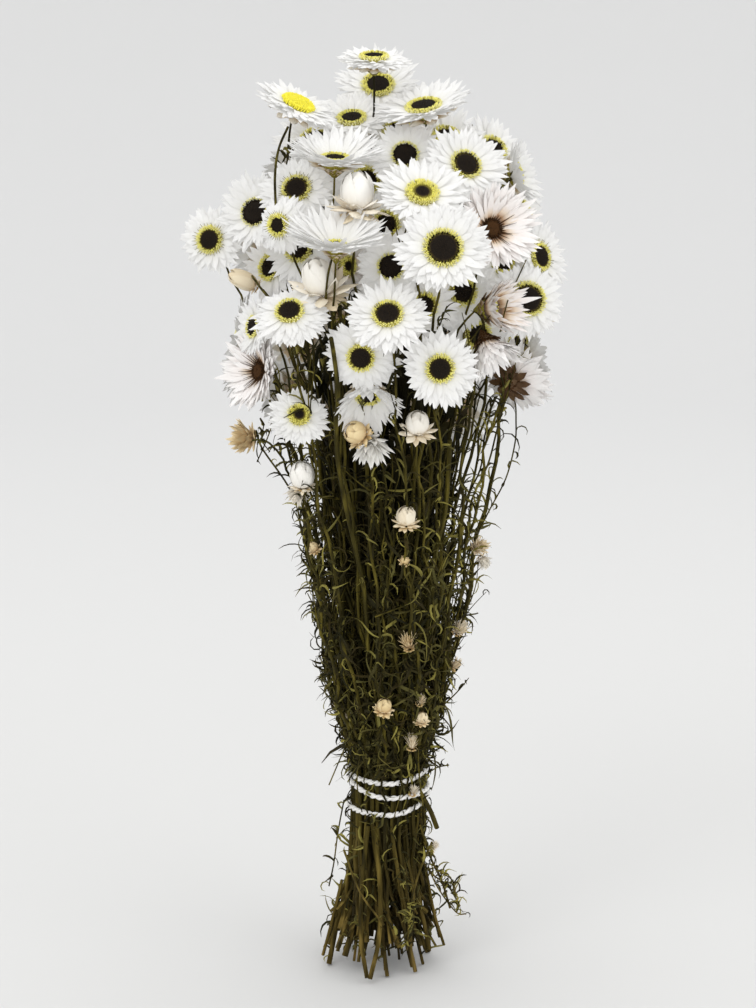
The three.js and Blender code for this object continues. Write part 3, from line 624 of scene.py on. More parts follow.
def add_disc(copies, head):
    """The disc of one open head: its cup and dome, dark florets in the middle and yellow ones in the
    ring."""
    random = np.random.default_rng(2000 + head["number"])
    radius, dark, full = disc_radius(head), head["dark"], head.get("fullness", 1.0)
    spent = "spent" in head
    rust = -1.0 if spent else 0.0
    cup = RECEPTACLE.points * (radius, radius, 1)
    out = np.hypot(cup[:, 0], cup[:, 1]) / radius
    under_florets = np.where(out > dark, 0.5, 0.03)
    copies.add(RECEPTACLE, on_head(head, cup), np.where(cup[:, 2] < -3, 0.3, under_florets), rust)
    for master, start, end, pitch in ((DARK_FLORET, 0, dark, DISC["dark_pitch"]),
                                      (YELLOW_FLORET, dark, 1, DISC["yellow_pitch"])):
        count = int(pi * radius * radius * (end * end - start * start) / pitch ** 2 * full)
        for i in range(count):
            out = sqrt(start * start + (end * end - start * start) * (i + 0.5) / count)
            angle = i * GOLDEN_ANGLE + random.normal(0, 0.03)
            size = random.uniform(0.85, 1.15) / full ** 0.5
            points = upright(head, master.points * size, angle, radius * 0.99 * out,
                             dome_height(out) - DISC["sink"], out ** 3 * DISC["lean"])
            if master is DARK_FLORET:
                tone, pale = random.uniform(0, 0.12), rust * random.uniform(0.4, 1.0)
            else:
                tone = random.uniform(0.66, 0.95) if random.uniform() < 0.88 else random.uniform(0.35, 0.55)
                pale = max(0.0, (out - 0.78) / 0.22) * random.uniform(0.2, 1.0)
            if dark == 0:
                tone, pale = 1.0, 0.0
            copies.add(master, points, tone, pale)
    for angle in turns(random, DISC["spikes"] if spent or "spiky" in head else 0, 0.3):
        length = random.uniform(5, 9) if spent else random.uniform(1.8, 3.6)
        lean = radians(random.uniform(40, 62) if spent else random.uniform(55, 80))
        tones = np.where(SPIKE.points[:, 2] > 0.5, 0.16, 0.3 if spent else 0.8)
        points = upright(head, SPIKE.points * (1, 1, length), angle, radius * 0.93, 1.6, lean)
        copies.add(SPIKE, points, tones, rust)


# Rings of broad bracts that close over a bud's egg: count, how far round and how far up each reaches, and
# how far it stands off. Rings of short bracts that stand round the egg, and rings of narrow ones that make
# a tuft: count, slope and curl in degrees, and length as a share of the bud's.
EGG_RINGS = [dict(count=5, wide=1.7, reach=0.93, off=0.1), dict(count=6, wide=1.5, reach=0.78, off=0.32)]
COLLAR_RINGS = [
    dict(count=7, slope=40, curl=-14, long=0.85),
    dict(count=8, slope=18, curl=-22, long=1.0),
    dict(count=8, slope=-12, curl=-16, long=0.7),
]
TUFT_RINGS = [
    dict(count=9, slope=80, curl=-8, long=1.0),
    dict(count=12, slope=66, curl=-12, long=1.0),
    dict(count=14, slope=50, curl=-16, long=0.9),
    dict(count=10, slope=24, curl=-24, long=0.6),
]
BASE_SCALES = 9


def on_egg(head, angle, ring, reach):
    """Wraps a broad bract round an egg, from its base up to this share of the way to its top."""
    x, y, z = CLOSING.points.T
    way = 0.1 + (reach - 0.1) * y
    out = head["width"] / 2 * np.sin(pi * way ** 0.9) ** 0.75 + ring["off"]
    out = out + 0.3 * x + z * head["width"] * 0.6
    turn = angle + x * ring["wide"]
    up = head["height"] * (1 - np.cos(pi * way)) / 2
    return on_head(head, np.stack([out * np.cos(turn), out * np.sin(turn), up], 1))


def add_ring(copies, head, master, ring, order, length, width, radius, height, tan):
    random = np.random.default_rng(round(7000 + head["number"] * 13 + order * 3 + height * 7))
    for angle in turns(random, ring["count"], 0.2, order * 0.4):
        slope = radians(90 - (90 - ring["slope"]) * head.get("close", 1.0) + random.normal(0, 6))
        curl = radians(ring["curl"] + random.normal(0, 10))
        long = length * ring["long"] * random.uniform(0.88, 1.14)
        points = laid(master, long, width, slope, curl, random.normal(0, 0.2))
        copies.add(master, around(head, points, angle, radius, height), random.uniform(), tan)


def add_closed_head(copies, head):
    """An egg of broad bracts in its collar, or a tuft of narrow bracts, over a few scales."""
    random = np.random.default_rng(3000 + head["number"])
    width, height, tan = head["width"], head["height"], head["tan"]
    if "tuft" in head:
        for order, ring in enumerate(TUFT_RINGS):
            add_ring(copies, head, SCALE, ring, order, height, height * head["tuft"], width * 0.1,
                     0.5 - order * 0.3, tan)
    else:
        copies.add(EGG, on_head(head, EGG.points * (width * 0.9, width * 0.9, height * 0.96)), 0.5, tan)
        for order, ring in enumerate(EGG_RINGS):
            for angle in turns(random, ring["count"], 0.1, order * 0.6):
                points = on_egg(head, angle, ring, ring["reach"] * random.uniform(0.95, 1.0))
                copies.add(CLOSING, points, random.uniform(), tan)
        for order, ring in enumerate(COLLAR_RINGS):
            long = head["collar"] / 2 - width * 0.2
            add_ring(copies, head, SHELL, ring, order, long, min(long * ring["long"] * 0.55, width * 0.46),
                     width * 0.2, 0.3 - order * 0.5, 0.2 + 0.6 * tan + 0.15 * order)
    for i in range(BASE_SCALES):
        points = laid(SCALE, width * 0.36, width * 0.24, radians(30), radians(-30))
        copies.add(SCALE, around(head, points, 2 * pi * i / BASE_SCALES, 0.9, -1.6), random.uniform(), 1.0)


def bezier(corners, at):
    """The point this far along a Bezier curve through its control points."""
    while len(corners) > 1:
        corners = [start.lerp(end, at) for start, end in zip(corners, corners[1:])]
    return corners[0]


def curved(corners, steps):
    return [bezier(corners, i / steps) for i in range(steps + 1)]


def round_of(head):
    return atan2(head["middle"].y, head["middle"].x)


def outwardness(head):
    return hypot(head["middle"].x, head["middle"].y) - (head["middle"].z - TIE.z) * 0.45


def aside(number, salt, reach=11):
    """A repeatable sideways step that keeps neighbouring stems from running side by side."""
    return Vector((share(number, salt) - 0.5, share(number, salt + 50) - 0.5, 0)) * reach


def path_of(stem, wobble=1.5):
    """A stem's centre-line from its cut end through the tie, out to the belly and up behind its head,
    with the small bends that a dry stem has."""
    waist, number = stem["waist"], stem["number"]
    middle = Vector((waist.x, waist.y, TIE.z * 0.45)) + aside(number, 43, 7)
    leg = [stem["foot"], middle, Vector((waist.x, waist.y, TIE.z - GRIP))]
    end = stem["middle"] + stem["facing"] * (-4 if "width" in stem else -7)
    top = Vector((waist.x, waist.y, TIE.z + GRIP))
    height = end.z - top.z
    out = Vector((waist.x - TIE.x, waist.y, 0)) * (BELLY_RADIUS / WAIST_RADIUS - 1)
    first = top + out + Vector((0, 0, height * BELLY_SHARE)) + aside(number, 41)
    second = end - stem["facing"] * NECK_LENGTH + aside(number, 42)
    second.z = min(second.z, end.z + 4) - height * 0.08
    points = curved(leg, 7) + curved([top, first, second, end], 22)
    bent = []
    for i, point in enumerate(points):
        calm = min(1, abs(point.z - TIE.z) / 50) * min(1, (len(points) - 1 - i) / 4) * min(1, i / 3)
        bent.append(point + wobble * calm * Vector((
            sin(i * 1.1 + number) + 0.5 * sin(i * 2.3 + number * 2),
            cos(i * 0.9 + number * 1.7) + 0.5 * sin(i * 1.9 + number * 3), 0)))
    return bent


def lay(stem, turn, reach, leg_turn, spread, cut):
    """Gives a stem its place at the waist, its cut end and its path."""
    stem["waist"] = polar(turn, reach, TIE.z, TIE.x)
    stem["foot"] = polar(leg_turn, spread, max(0.8, cut))
    stem["path"] = path_of(stem)


def lay_stems(stems):
    """Where each stem passes the waist and where it is cut. Stems of low, wide heads go round the
    outside."""
    by_width = sorted(stems, key=outwardness, reverse=True)
    outer = sorted(by_width[:OUTER_STEMS], key=round_of)
    for i, stem in enumerate(outer):
        number = stem["number"]
        turn = round_of(outer[0]) + 2 * pi * i / OUTER_STEMS
        twist = turn + LEG_TWIST + (share(number, 7) - 0.5) * 0.4
        spread = FOOT_RADIUS * (0.74 + 0.26 * share(number, 5))
        lay(stem, turn, WAIST_RADIUS, twist, spread, SHORTEST_CUT * share(number, 9) if i % 5 else 0)
        stem["outer"] = True
    for rank, stem in enumerate(by_width[OUTER_STEMS:]):
        turn = round_of(stem)
        reach = WAIST_RADIUS * (0.7 - 0.6 * rank / len(stems))
        lay(stem, turn, reach, turn + LEG_TWIST, reach * 1.35, 10 + 22 * share(stem["number"], 6))


FILLERS = dict(count=140, waist=16.8, low=205, high=360, reach=43)


def fillers(inner_heads):
    """Stems that stand between the outer ones: those of the inner heads, and the bunch's leafy shoots."""
    for head in inner_heads:
        lay(head, round_of(head), FILLERS["waist"] * 0.4, round_of(head), FOOT_RADIUS * 0.3, 20)
    stems = list(inner_heads)
    for i in range(FILLERS["count"]):
        turn = 2 * pi * i / FILLERS["count"]
        number = 400 + i
        reach = FILLERS["reach"] * (0.45 + 0.75 * share(number, 12))
        height = FILLERS["low"] + (FILLERS["high"] - FILLERS["low"]) * share(number, 13)
        lean = turn + (share(number, 14) - 0.5) * 1.1
        stem = dict(middle=polar(lean, reach, height, TIE.x), facing=polar(lean, 0.4, 1).normalized(),
                    number=number, slim=True)
        spread = FOOT_RADIUS * (0.35 + 0.6 * share(number, 15))
        waist = FILLERS["waist"] * (0.5 + 0.25 * (i % 3))
        leg_turn = turn + LEG_TWIST + share(number, 17) * 0.3
        lay(stem, turn, waist, leg_turn, spread, 6 + 30 * share(number, 16))
        stems.append(stem)
    return stems


def tube_piece(name, routes, look, node="leafy_stems", sides=1):
    """Tubes along routes of points, each with its own radii, made one mesh with closed ends."""
    curve = bpy.data.curves.new(name, "CURVE")
    curve.dimensions = "3D"
    curve.bevel_depth = MM
    curve.bevel_resolution = sides
    curve.use_fill_caps = True
    for points, radii in routes:
        spline = curve.splines.new("POLY")
        spline.points.add(len(points) - 1)
        for point, place, radius in zip(spline.points, points, radii):
            point.co = (*((np.array(place) + STAND) * MM), 1)
            point.radius = radius
    piece = new_object(name, curve)
    bpy.ops.object.convert(target="MESH")
    finish_piece(piece, look, node, 60)


# A stem's radius at its cut end and at its head, where True is for slim ones. Then a side shoot's radii.
STEM_RADII = {False: (1.35, 0.5), True: (0.95, 0.3)}
SHOOT_RADII = [0.5 - 0.3 * i / 7 for i in range(8)]


def stem_radii(path, number, thick, neck):
    """A stem thins from its cut end to its head, and some stems are thicker than others."""
    thick *= 0.66 + 0.8 * share(number, 44) ** 1.5
    return [neck + (thick - neck) * (1 - i / (len(path) - 1)) ** 0.7 for i in range(len(path))]


def aimed(points, root, direction, up):
    """Moves a blade to its root and turns it to point this way, with its upper side to up."""
    ahead = direction.normalized()
    side = ahead.cross(up).normalized()
    return points @ np.array((side, ahead, side.cross(ahead))) + np.array(root)


LEAVES = dict(length=10, width=1.5, highlight=0.5, highlight_at=place_of((470, 545), 15), highlight_reach=30, clear=0.3,
              tie=7, golden=80)


def add_leaf(copies, root, direction, random, size):
    """A narrow dry leaf that curls off its stem, lighter and yellower round one place on the bunch's right
    and towards its left and right sides, which is painted highlight.
    """
    length = LEAVES["length"] * size * random.uniform(0.5, 1.5)
    curl = random.uniform(1.2, 4.4) * (1 if random.uniform() < 0.65 else -1)
    width = LEAVES["width"] * random.uniform(0.65, 1.35)
    points = laid(LEAF, length, width, -0.2, curl, random.normal(0, 1.4), random.normal(0, 0.35))
    points = aimed(points, root, direction, Vector(random.normal(0, 1, 3)))
    # Painted highlight: lighter tones for leaves round one place on the bunch's right side and towards its
    # left and right sides.
    near = exp(-((root - LEAVES["highlight_at"]).length / LEAVES["highlight_reach"]) ** 2)
    edge = min(1, abs(root.x - TIE.x) / 45)
    low = 0.2 if root.z < LEAVES["golden"] else 0.0
    tone = min(1, random.uniform() ** 1.3 + LEAVES["highlight"] * near + 0.16 * edge + low)
    if points[:, 2].min() > LEAVES["clear"]:
        copies.add(LEAF, points, tone, random.uniform())


# Leaves along the stems: how far apart on outer stems and on inner ones, between which heights, and how they
# stand. Then those of the side shoots and of the twigs.
LEAF_ZONES = [
    (8, 20, dict(start=4, end=92)),
    (3.2, 3.2 * 5 ** 0.7, dict(start=108, end=200, fan=1.5, rise=0.5, size=1.1, spread=1.8)),
    (4.2, 4.2 * 5 ** 0.8, dict(start=200, end=400, size=1.3)),
]
SHOOT_LEAVES = dict(start=5, end=350, step=6.5, fan=2.0)
TWIG_LEAVES = dict(start=4, end=480, fan=1.6, size=0.8)


def add_leaves(copies, path, number, start, end, step, fan=1.2, rise=1.6, size=1.0, spread=0.9):
    """Leaves along a stem between two heights, standing off it away from the bunch's middle."""
    random = np.random.default_rng(5000 + number)
    for low, high in zip(path, path[1:]):
        for _ in range(random.poisson((high - low).length / step)):
            root = low.lerp(high, random.uniform())
            if start < root.z < end and not (size == 1.0 and abs(root.z - TIE.z) < LEAVES["tie"]):
                direction = polar(turn_of(root) + random.normal(0, fan), 1, random.normal(rise, spread))
                add_leaf(copies, root, direction, random, size)


SHOOTS = dict(tie=14, highest=340, reach=(2, 13), height=(12, 42))


def side_shoots(stems):
    """Thin twigs that leave the stems, lean across their neighbours and carry leaves of their own."""
    shoots = []
    random = np.random.default_rng(77)
    for stem in stems:
        for _ in range(3 if "outer" in stem else 2):
            root = stem["path"][int(random.integers(9, 29))]
            if abs(root.z - TIE.z) < SHOOTS["tie"] or root.z > SHOOTS["highest"]:
                continue
            out = polar(turn_of(root) + random.normal(0, 1.0))
            across = Vector((-out.y, out.x, 0)) * random.normal(0, 8)
            reach = random.uniform(*SHOOTS["reach"])
            height = random.uniform(*SHOOTS["height"])
            middle = root + out * reach * 0.8 + across * 0.3 + Vector((0, 0, height * 0.4))
            tip = root + out * reach * random.uniform(0.2, 1.1) + across + Vector((0, 0, height))
            shoots.append(curved([root, middle, tip], 7))
    return shoots


INNER_LEAVES = dict(count=800, low=125, high=345, length=26, width=5.0)


def add_inner_leaves(copies):
    """Broad leaves that fill the middle of the bunch, given only the darkest tones as painted shade."""
    random = np.random.default_rng(99)
    for _ in range(INNER_LEAVES["count"]):
        z = random.uniform(INNER_LEAVES["low"], INNER_LEAVES["high"])
        wide = 13 + (z - INNER_LEAVES["low"]) * 0.14
        root = polar(random.uniform(0, 2 * pi), wide * sqrt(random.uniform()), z - 10, TIE.x)
        direction = Vector((random.normal(0, 0.3), random.normal(0, 0.3), 1))
        points = laid(LEAF, INNER_LEAVES["length"] * random.uniform(0.6, 1.2), INNER_LEAVES["width"], 0.0,
                      random.normal(0, 1.2), random.normal(0, 1.0), random.normal(0, 0.2))
        points = aimed(points, root, direction, Vector(random.normal(0, 1, 3)))
        # Painted shade: these leaves get only the darkest tones.
        copies.add(LEAF, points, random.uniform(0, 0.3), random.uniform())


WAVY_LEAVES = dict(count=950, low=106, high=235, length=20, width=1.9, wave=1.3)


def add_wavy_leaves(copies, stems):
    """Long wavy leaves that lie over the outer stems above the tie and hide them."""
    random = np.random.default_rng(97)
    for _ in range(WAVY_LEAVES["count"]):
        path = stems[random.integers(len(stems))]["path"]
        low = WAVY_LEAVES["low"] + (WAVY_LEAVES["high"] - WAVY_LEAVES["low"]) * random.uniform() ** 1.4
        root = next(point for point in path if point.z > low)
        out = Vector((root.x - TIE.x, root.y, 0)).normalized()
        root = root + out * random.uniform(-2, 0.5)
        swing = Vector((-out.y, out.x, 0)) * random.normal(0, 0.7)
        direction = out * random.uniform(0.1, 0.5) + swing + Vector((0, 0, random.choice((-0.8, 1, 1))))
        length = WAVY_LEAVES["length"] * random.uniform(0.5, 1.3)
        curl = -random.uniform(0.4, 2.2)
        points = laid(WAVY_LEAF, length, WAVY_LEAVES["width"] * random.uniform(0.6, 1.2), 0.0, curl,
                      random.normal(0, 1.5), random.normal(0, 0.3),
                      WAVY_LEAVES["wave"] * random.uniform(0.4, 1.4))
        points = aimed(points, root, direction, out + Vector(random.normal(0, 0.4, 3)))
        copies.add(WAVY_LEAF, points, random.uniform() ** 1.5, random.uniform())


TIE_LEAVES = dict(count=90, below=18, above=16, stand_off=1.6)


def add_tie_leaves(copies):
    """Leaves that hang over the tie from above it and stand up from below it."""
    random = np.random.default_rng(98)
    for _ in range(TIE_LEAVES["count"]):
        out = polar(random.uniform(0, 2 * pi))
        root = Vector((TIE.x, 0, TIE.z + random.uniform(-TIE_LEAVES["below"], TIE_LEAVES["above"])))
        root += out * (TWINE["radius"] + TIE_LEAVES["stand_off"])
        direction = out * random.uniform(0.1, 0.45) + Vector((-out.y, out.x, 0)) * random.normal(0, 0.8)
        direction += Vector((0, 0, random.choice((-1, 1))))
        points = laid(WAVY_LEAF, random.uniform(7, 16), 1.5, 0.0, -random.uniform(0.6, 3.0), 0.6,
                      random.normal(0, 0.3), random.uniform(0.3, 1.2))
        copies.add(WAVY_LEAF, aimed(points, root, direction, out), random.uniform() ** 1.5, random.uniform())


def twig_path(shown):
    """The smooth route of a twig through its pixels."""
    start, end = shown["depth"]
    last = len(shown["route"]) - 1
    places = [place_of(pixel, start + (end - start) * i / last) for i, pixel in enumerate(shown["route"])]
    places = [places[0] * 2 - places[1], *places, places[-1] * 2 - places[-2]]
    path = []
    for a, b, c, d in zip(places, places[1:], places[2:], places[3:]):
        for t in np.linspace(0, 1, 6, endpoint=False):
            square, cube = (2 * a - 5 * b + 4 * c - d) * t ** 2, (3 * b - a - 3 * c + d) * t ** 3
            path.append(0.5 * (2 * b + (c - a) * t + square + cube))
    return [*path, places[-2]]


# The twine: its line's distance from the bunch's axis, its heights at each quarter turn, and its knot's
# stand-off; a ply's radius, its distance from the line and the length of one wind.
TWINE = dict(radius=21.8, turns=3, steps=150, knot=2.6, ply=0.88, offset=0.7, pitch=8.0)
TWINE_HEIGHTS = (112, 110.6, 109.2, 113.5, 112, 107.2, 101.0, 101.6, 98, 91.6, 91.4, 97.5, 98)


def twine_point(turn):
    """A place on the twine's line, this many turns from its start at the back of the bunch."""
    angle = 2 * pi * turn + pi / 2
    quarter = min(int(turn * 4), len(TWINE_HEIGHTS) - 2)
    way = turn * 4 - quarter
    low, high = TWINE_HEIGHTS[quarter:quarter + 2]
    height = low + (high - low) * way * way * (3 - 2 * way)
    return polar(angle, TWINE["radius"] + 0.15 * sin(angle * 15), height, TIE.x)


def plies(points):
    """Two plies that wind round a twine's line."""
    routes = []
    for phase in (0, pi):
        route = []
        along = 0.0
        for i, point in enumerate(points):
            before, after = points[max(0, i - 1)], points[min(len(points) - 1, i + 1)]
            ahead = (after - before).normalized()
            side = ahead.cross(UP).normalized()
            up = side.cross(ahead)
            along += (point - before).length
            turn = 2 * pi * along / TWINE["pitch"] + phase
            route.append(point + side * (cos(turn) * TWINE["offset"]) + up * (sin(turn) * TWINE["offset"]))
        routes.append((route, [TWINE["ply"]] * len(route)))
    return routes


def twine_routes():
    """Three turns round the waist, both ends brought to one knot at the back, and two tails."""
    steps = TWINE["steps"]
    windings = [twine_point(i / steps) for i in range(TWINE["turns"] * steps + 1)]
    knot = Vector((TIE.x, TWINE["radius"] + TWINE["knot"], TIE.z))
    links = [[end, Vector((end.x, knot.y, end.z * 0.6 + knot.z * 0.4)), knot]
             for end in (windings[0], windings[-1])]
    tails = [[knot, knot + Vector((-7, 3, -6)), knot + Vector((-9, 1, -19))],
             [knot, knot + Vector((6, 4, -4)), knot + Vector((10, 2, -15))]]
    loop = [knot + Vector((2.2 * cos(t), 0.9 + 0.8 * sin(2 * t), 2.0 * sin(t)))
            for t in np.linspace(0, 2 * pi * 1.6, 60)]
    lines = [windings, *(curved(corners, 24) for corners in links + tails), loop]
    return [route for line in lines for route in plies(line)]


class Value:
    """A number or colour in a shader: arithmetic on it adds Math nodes."""

    def __init__(self, shader, socket):
        self.shader, self.socket = shader, socket

    def maths(self, operation, first, second):
        return self.shader.node("Math", dict(operation=operation), {0: first, 1: second})

    def __add__(self, other):
        return self.maths("ADD", self, other)

    def __sub__(self, other):
        return self.maths("SUBTRACT", self, other)

    def __rsub__(self, other):
        return self.maths("SUBTRACT", other, self)

    def __mul__(self, other):
        return self.maths("MULTIPLY", self, other)

    def __truediv__(self, other):
        return self.maths("DIVIDE", self, other)

    def __pow__(self, other):
        return self.maths("POWER", self, other)


class Shader:
    """A material, whose nodes are made by one method."""

    def __init__(self, name, rough, specular, **constants):
        self.material = bpy.data.materials.new(name)
        self.material.use_nodes = True
        self.tree = self.material.node_tree
        self.surface = self.tree.nodes["Principled BSDF"]
        for socket, value in dict(Roughness=rough, Specular_IOR_Level=specular, **constants).items():
            self.surface.inputs[socket.replace("_", " ")].default_value = value

    def node(self, kind, settings=None, inputs=None, output=0):
        node = self.tree.nodes.new("ShaderNode" + kind)
        for setting, value in (settings or {}).items():
            setattr(node, setting, value)
        for socket, value in (inputs or {}).items():
            if isinstance(value, Value):
                self.tree.links.new(value.socket, node.inputs[socket])
            else:
                node.inputs[socket].default_value = value
        return Value(self, node.outputs[output])

    def ramp(self, factor, *stops):
        """A colour ramp through stops, each a place and its red, green and blue."""
        ramp = self.node("ValToRGB", inputs={0: factor})
        elements = ramp.socket.node.color_ramp.elements
        while len(elements) < len(stops):
            elements.new(0.5)
        for element, (place, *colour) in zip(elements, stops):
            element.position = place
            element.color = (*colour, 1)
        return ramp

    def mix(self, factor, first, second):
        first, second = (value if isinstance(value, Value) else (*value, 1) for value in (first, second))
        return self.node("Mix", dict(data_type="RGBA"), {0: factor, 6: first, 7: second}, 2)

    def attribute(self, name):
        return self.node("Attribute", dict(attribute_name=name), output=2)

    def part(self, vector, axis):
        return self.node("SeparateXYZ", inputs={0: vector}, output=axis)

    def spread(self, value, low, high):
        """1 where the value is low, falling to 0 where it is high."""
        return self.node("MapRange", inputs={0: value, 1: low, 2: high, 3: 1.0, 4: 0.0})

    def uv(self):
        return self.node("UVMap", dict(uv_map="UVMap"))

    def place(self, scale=(1, 1, 1)):
        return self.node("Mapping", inputs={0: self.node("TexCoord", output=3), 3: scale})

    def noise(self, vector, scale, detail):
        return self.node("TexNoise", inputs={0: vector, 2: scale, 3: detail})

    def blade(self, ribs=26.0):
        """The share of the way along a blade, its tone, and fine ribs along it: noise that is stretched
        towards the tip and shifted from blade to blade."""
        across, along = (self.part(self.uv(), axis) for axis in range(2))
        tone = self.attribute("tone")
        vector = self.node("CombineXYZ", inputs={0: across * ribs, 1: along * 1.6, 2: tone * 37.0})
        return along, tone, self.noise(vector, 1.0, 2.0)

    def inner_shade_mask(self):
        """How deep inside the bunch a point lies, from 0 at its outer stems to 1 among its inner ones: the
        mask of the painted shade inside the bunch.
        """
        x, y, z = (self.part(self.place(), axis) for axis in range(3))
        x, y = x - (STAND[0] + TIE.x) * MM, y - STAND[1] * MM
        rise = self.node("Math", dict(operation="ABSOLUTE"), {0: z - TIE.z * MM})
        return self.spread((x * x + y * y) ** 0.5 / (rise * 0.15 + 0.0205), 0.55, 0.95)

    def finish(self, colour, height=None, strength=0.5, distance=0.0004):
        """Gives the surface its colour and its bump."""
        self.tree.links.new(colour.socket, self.surface.inputs["Base Color"])
        if height:
            bump = self.node("Bump", inputs={0: strength, 1: distance, "Height": height})
            self.tree.links.new(bump.socket, self.surface.inputs["Normal"])
        return self.material


def bract_look():
    """White papery bracts, faintly streaked, with a shadowed greenish root. Their faint glow stands for
    the light that bracts as thin as this pass on to one another."""
    shader = Shader("white papery bracts", 0.62, 0.2, Emission_Color=(1.0, 0.99, 0.965, 1.0),
                    Emission_Strength=0.15)
    shader.material.cycles.emission_sampling = "NONE"
    along, tone, ribs = shader.blade()
    white = shader.mix(tone, (0.655, 0.652, 0.64), (0.73, 0.728, 0.72))
    white = shader.mix(ribs * 0.4, white, (0.57, 0.565, 0.55))
    return shader.finish(shader.mix((1 - along) ** 3 * 0.5, white, (0.56, 0.535, 0.4)), ribs, 0.45)


def aged_bract_look():
    """Bracts that have aged: rusty at the root, pink further out, and nearly white at the tip."""
    shader = Shader("aged papery bracts", 0.62, 0.2)
    along, tone, ribs = shader.blade()
    reach = along + (tone - 0.5) * 0.3 - (shader.attribute("age") - 0.8) * 0.5
    colour = shader.ramp(reach, (0.0, 0.1, 0.04, 0.014), (0.14, 0.42, 0.22, 0.08), (0.3, 0.84, 0.71, 0.56),
                         (0.5, 0.93, 0.88, 0.855), (1.0, 0.93, 0.92, 0.91))
    return shader.finish(shader.mix(ribs * 0.3, colour, (0.8, 0.72, 0.66)), ribs, 0.4)


def scale_look():
    """Tan scales under the heads: brown at the root, cream at the tip, and rusty all over on spent
    heads."""
    shader = Shader("tan papery scales", 0.55, 0.35)
    along, tone, ribs = shader.blade()
    cream = shader.ramp(along + (tone - 0.6) * 0.4, (0.0, 0.44, 0.28, 0.14), (0.3, 0.66, 0.5, 0.32),
                        (0.6, 0.84, 0.77, 0.64), (1.0, 0.9, 0.87, 0.8))
    colour = shader.mix(shader.attribute("age") ** 2.0 * 0.6, cream, (0.46, 0.3, 0.15))
    colour = shader.mix(ribs * 0.25, colour, (0.5, 0.36, 0.2))
    rust = shader.mix(ribs, (0.15, 0.075, 0.025), (0.04, 0.02, 0.008))
    return shader.finish(shader.mix(0 - tone, colour, rust), ribs, 0.4)


def egg_look():
    """Closed heads: smooth white bracts with a faintly browner root, and the browned ones tan all over."""
    shader = Shader("cream closed bracts", 0.5, 0.35)
    along, tone, ribs = shader.blade(18.0)
    tan = shader.attribute("age")
    cream = shader.mix(tone, (0.89, 0.885, 0.85), (0.94, 0.935, 0.915))
    straw = shader.mix(tone, (0.78, 0.66, 0.47), (0.88, 0.8, 0.63))
    brown = shader.ramp(along + (tone - 0.5) * 0.2, (0.0, 0.34, 0.16, 0.04), (0.4, 0.6, 0.4, 0.15),
                        (1.0, 0.8, 0.62, 0.3))
    colour = shader.mix(tan * 2.0 - 1.0, shader.mix(tan * 2.0, cream, straw), brown)
    colour = shader.mix((1 - along) ** 3 * 0.3, colour, (0.6, 0.42, 0.22))
    return shader.finish(shader.mix(ribs * 0.16, colour, (0.68, 0.58, 0.42)), ribs, 0.25)


def disc_look():
    """Florets from nearly black in the middle to yellow in the ring, by how much pollen they carry."""
    shader = Shader("dark and yellow florets", 0.8, 0.1)
    pollen, pale = shader.attribute("tone"), shader.attribute("age")
    grain = shader.noise(shader.place(), 1900.0, 2.0)
    colour = shader.ramp(pollen + (grain - 0.5) * 0.12, (0.0, 0.008, 0.006, 0.005), (0.16, 0.03, 0.02, 0.01),
                         (0.4, 0.22, 0.19, 0.03), (0.6, 0.66, 0.6, 0.12), (0.85, 0.9, 0.85, 0.26),
                         (1.0, 0.95, 0.88, 0.09))
    colour = shader.mix(pale, colour, (0.94, 0.92, 0.62))
    return shader.finish(shader.mix(0 - pale, colour, (0.06, 0.027, 0.009)), grain)


def stem_look():
    """Dry olive-brown stems, streaked along their length, golden towards their cut ends, and darkened inside
    the bunch by painted shade.
    """
    shader = Shader("dry olive stems", 0.75, 0.12)
    streaks = shader.noise(shader.place((1, 1, 0.05)), 420.0, 3.0)
    patches = shader.noise(shader.place((1, 1, 0.06)), 250.0, 1.0)
    low = shader.spread(shader.part(shader.place(), 2), 0.0, 0.11)
    olive = shader.ramp(patches, (0.3, 0.018, 0.016, 0.002), (0.5, 0.064, 0.053, 0.008),
                        (0.7, 0.18, 0.145, 0.022))
    golden = shader.ramp(patches, (0.3, 0.03, 0.022, 0.005), (0.48, 0.12, 0.082, 0.016),
                         (0.7, 0.34, 0.23, 0.06))
    colour = shader.mix(streaks * 0.7, shader.mix(low, olive, golden), (0.016, 0.012, 0.002))
    # Painted shade: stems turn nearly black the deeper inside the bunch they lie.
    return shader.finish(shader.mix(shader.inner_shade_mask() * 0.75, colour, (0.004, 0.003, 0.001)), streaks)


def leaf_look():
    """Curled dry leaves from blackish olive to yellow-green, darkened inside the bunch by painted shade."""
    shader = Shader("curled olive leaves", 0.75, 0.12)
    grain = shader.noise(shader.place(), 700.0, 3.0)
    colour = shader.ramp(shader.attribute("tone"), (0.0, 0.01, 0.01, 0.003), (0.5, 0.027, 0.025, 0.007),
                         (0.8, 0.13, 0.12, 0.035), (1.0, 0.34, 0.3, 0.07))
    tip = shader.attribute("age") * shader.part(shader.uv(), 1) * 0.4
    colour = shader.mix(tip, colour, (0.12, 0.075, 0.015))
    colour = shader.mix(grain * 0.4, colour, (0.012, 0.011, 0.002))
    # Painted shade: leaves turn nearly black the deeper inside the bunch they lie.
    colour = shader.mix(shader.inner_shade_mask() * 0.7, colour, (0.004, 0.004, 0.001))
    return shader.finish(colour, grain, 0.4, 0.0003)


def twine_look():
    """White twine with faint fibres."""
    shader = Shader("white twine", 0.55, 0.4)
    fibres = shader.noise(shader.place((1, 1, 3)), 1400.0, 3.0)
    colour = shader.ramp(fibres, (0.3, 0.72, 0.7, 0.66), (0.6, 0.9, 0.89, 0.87))
    return shader.finish(colour, fibres, 0.5, 0.0003)


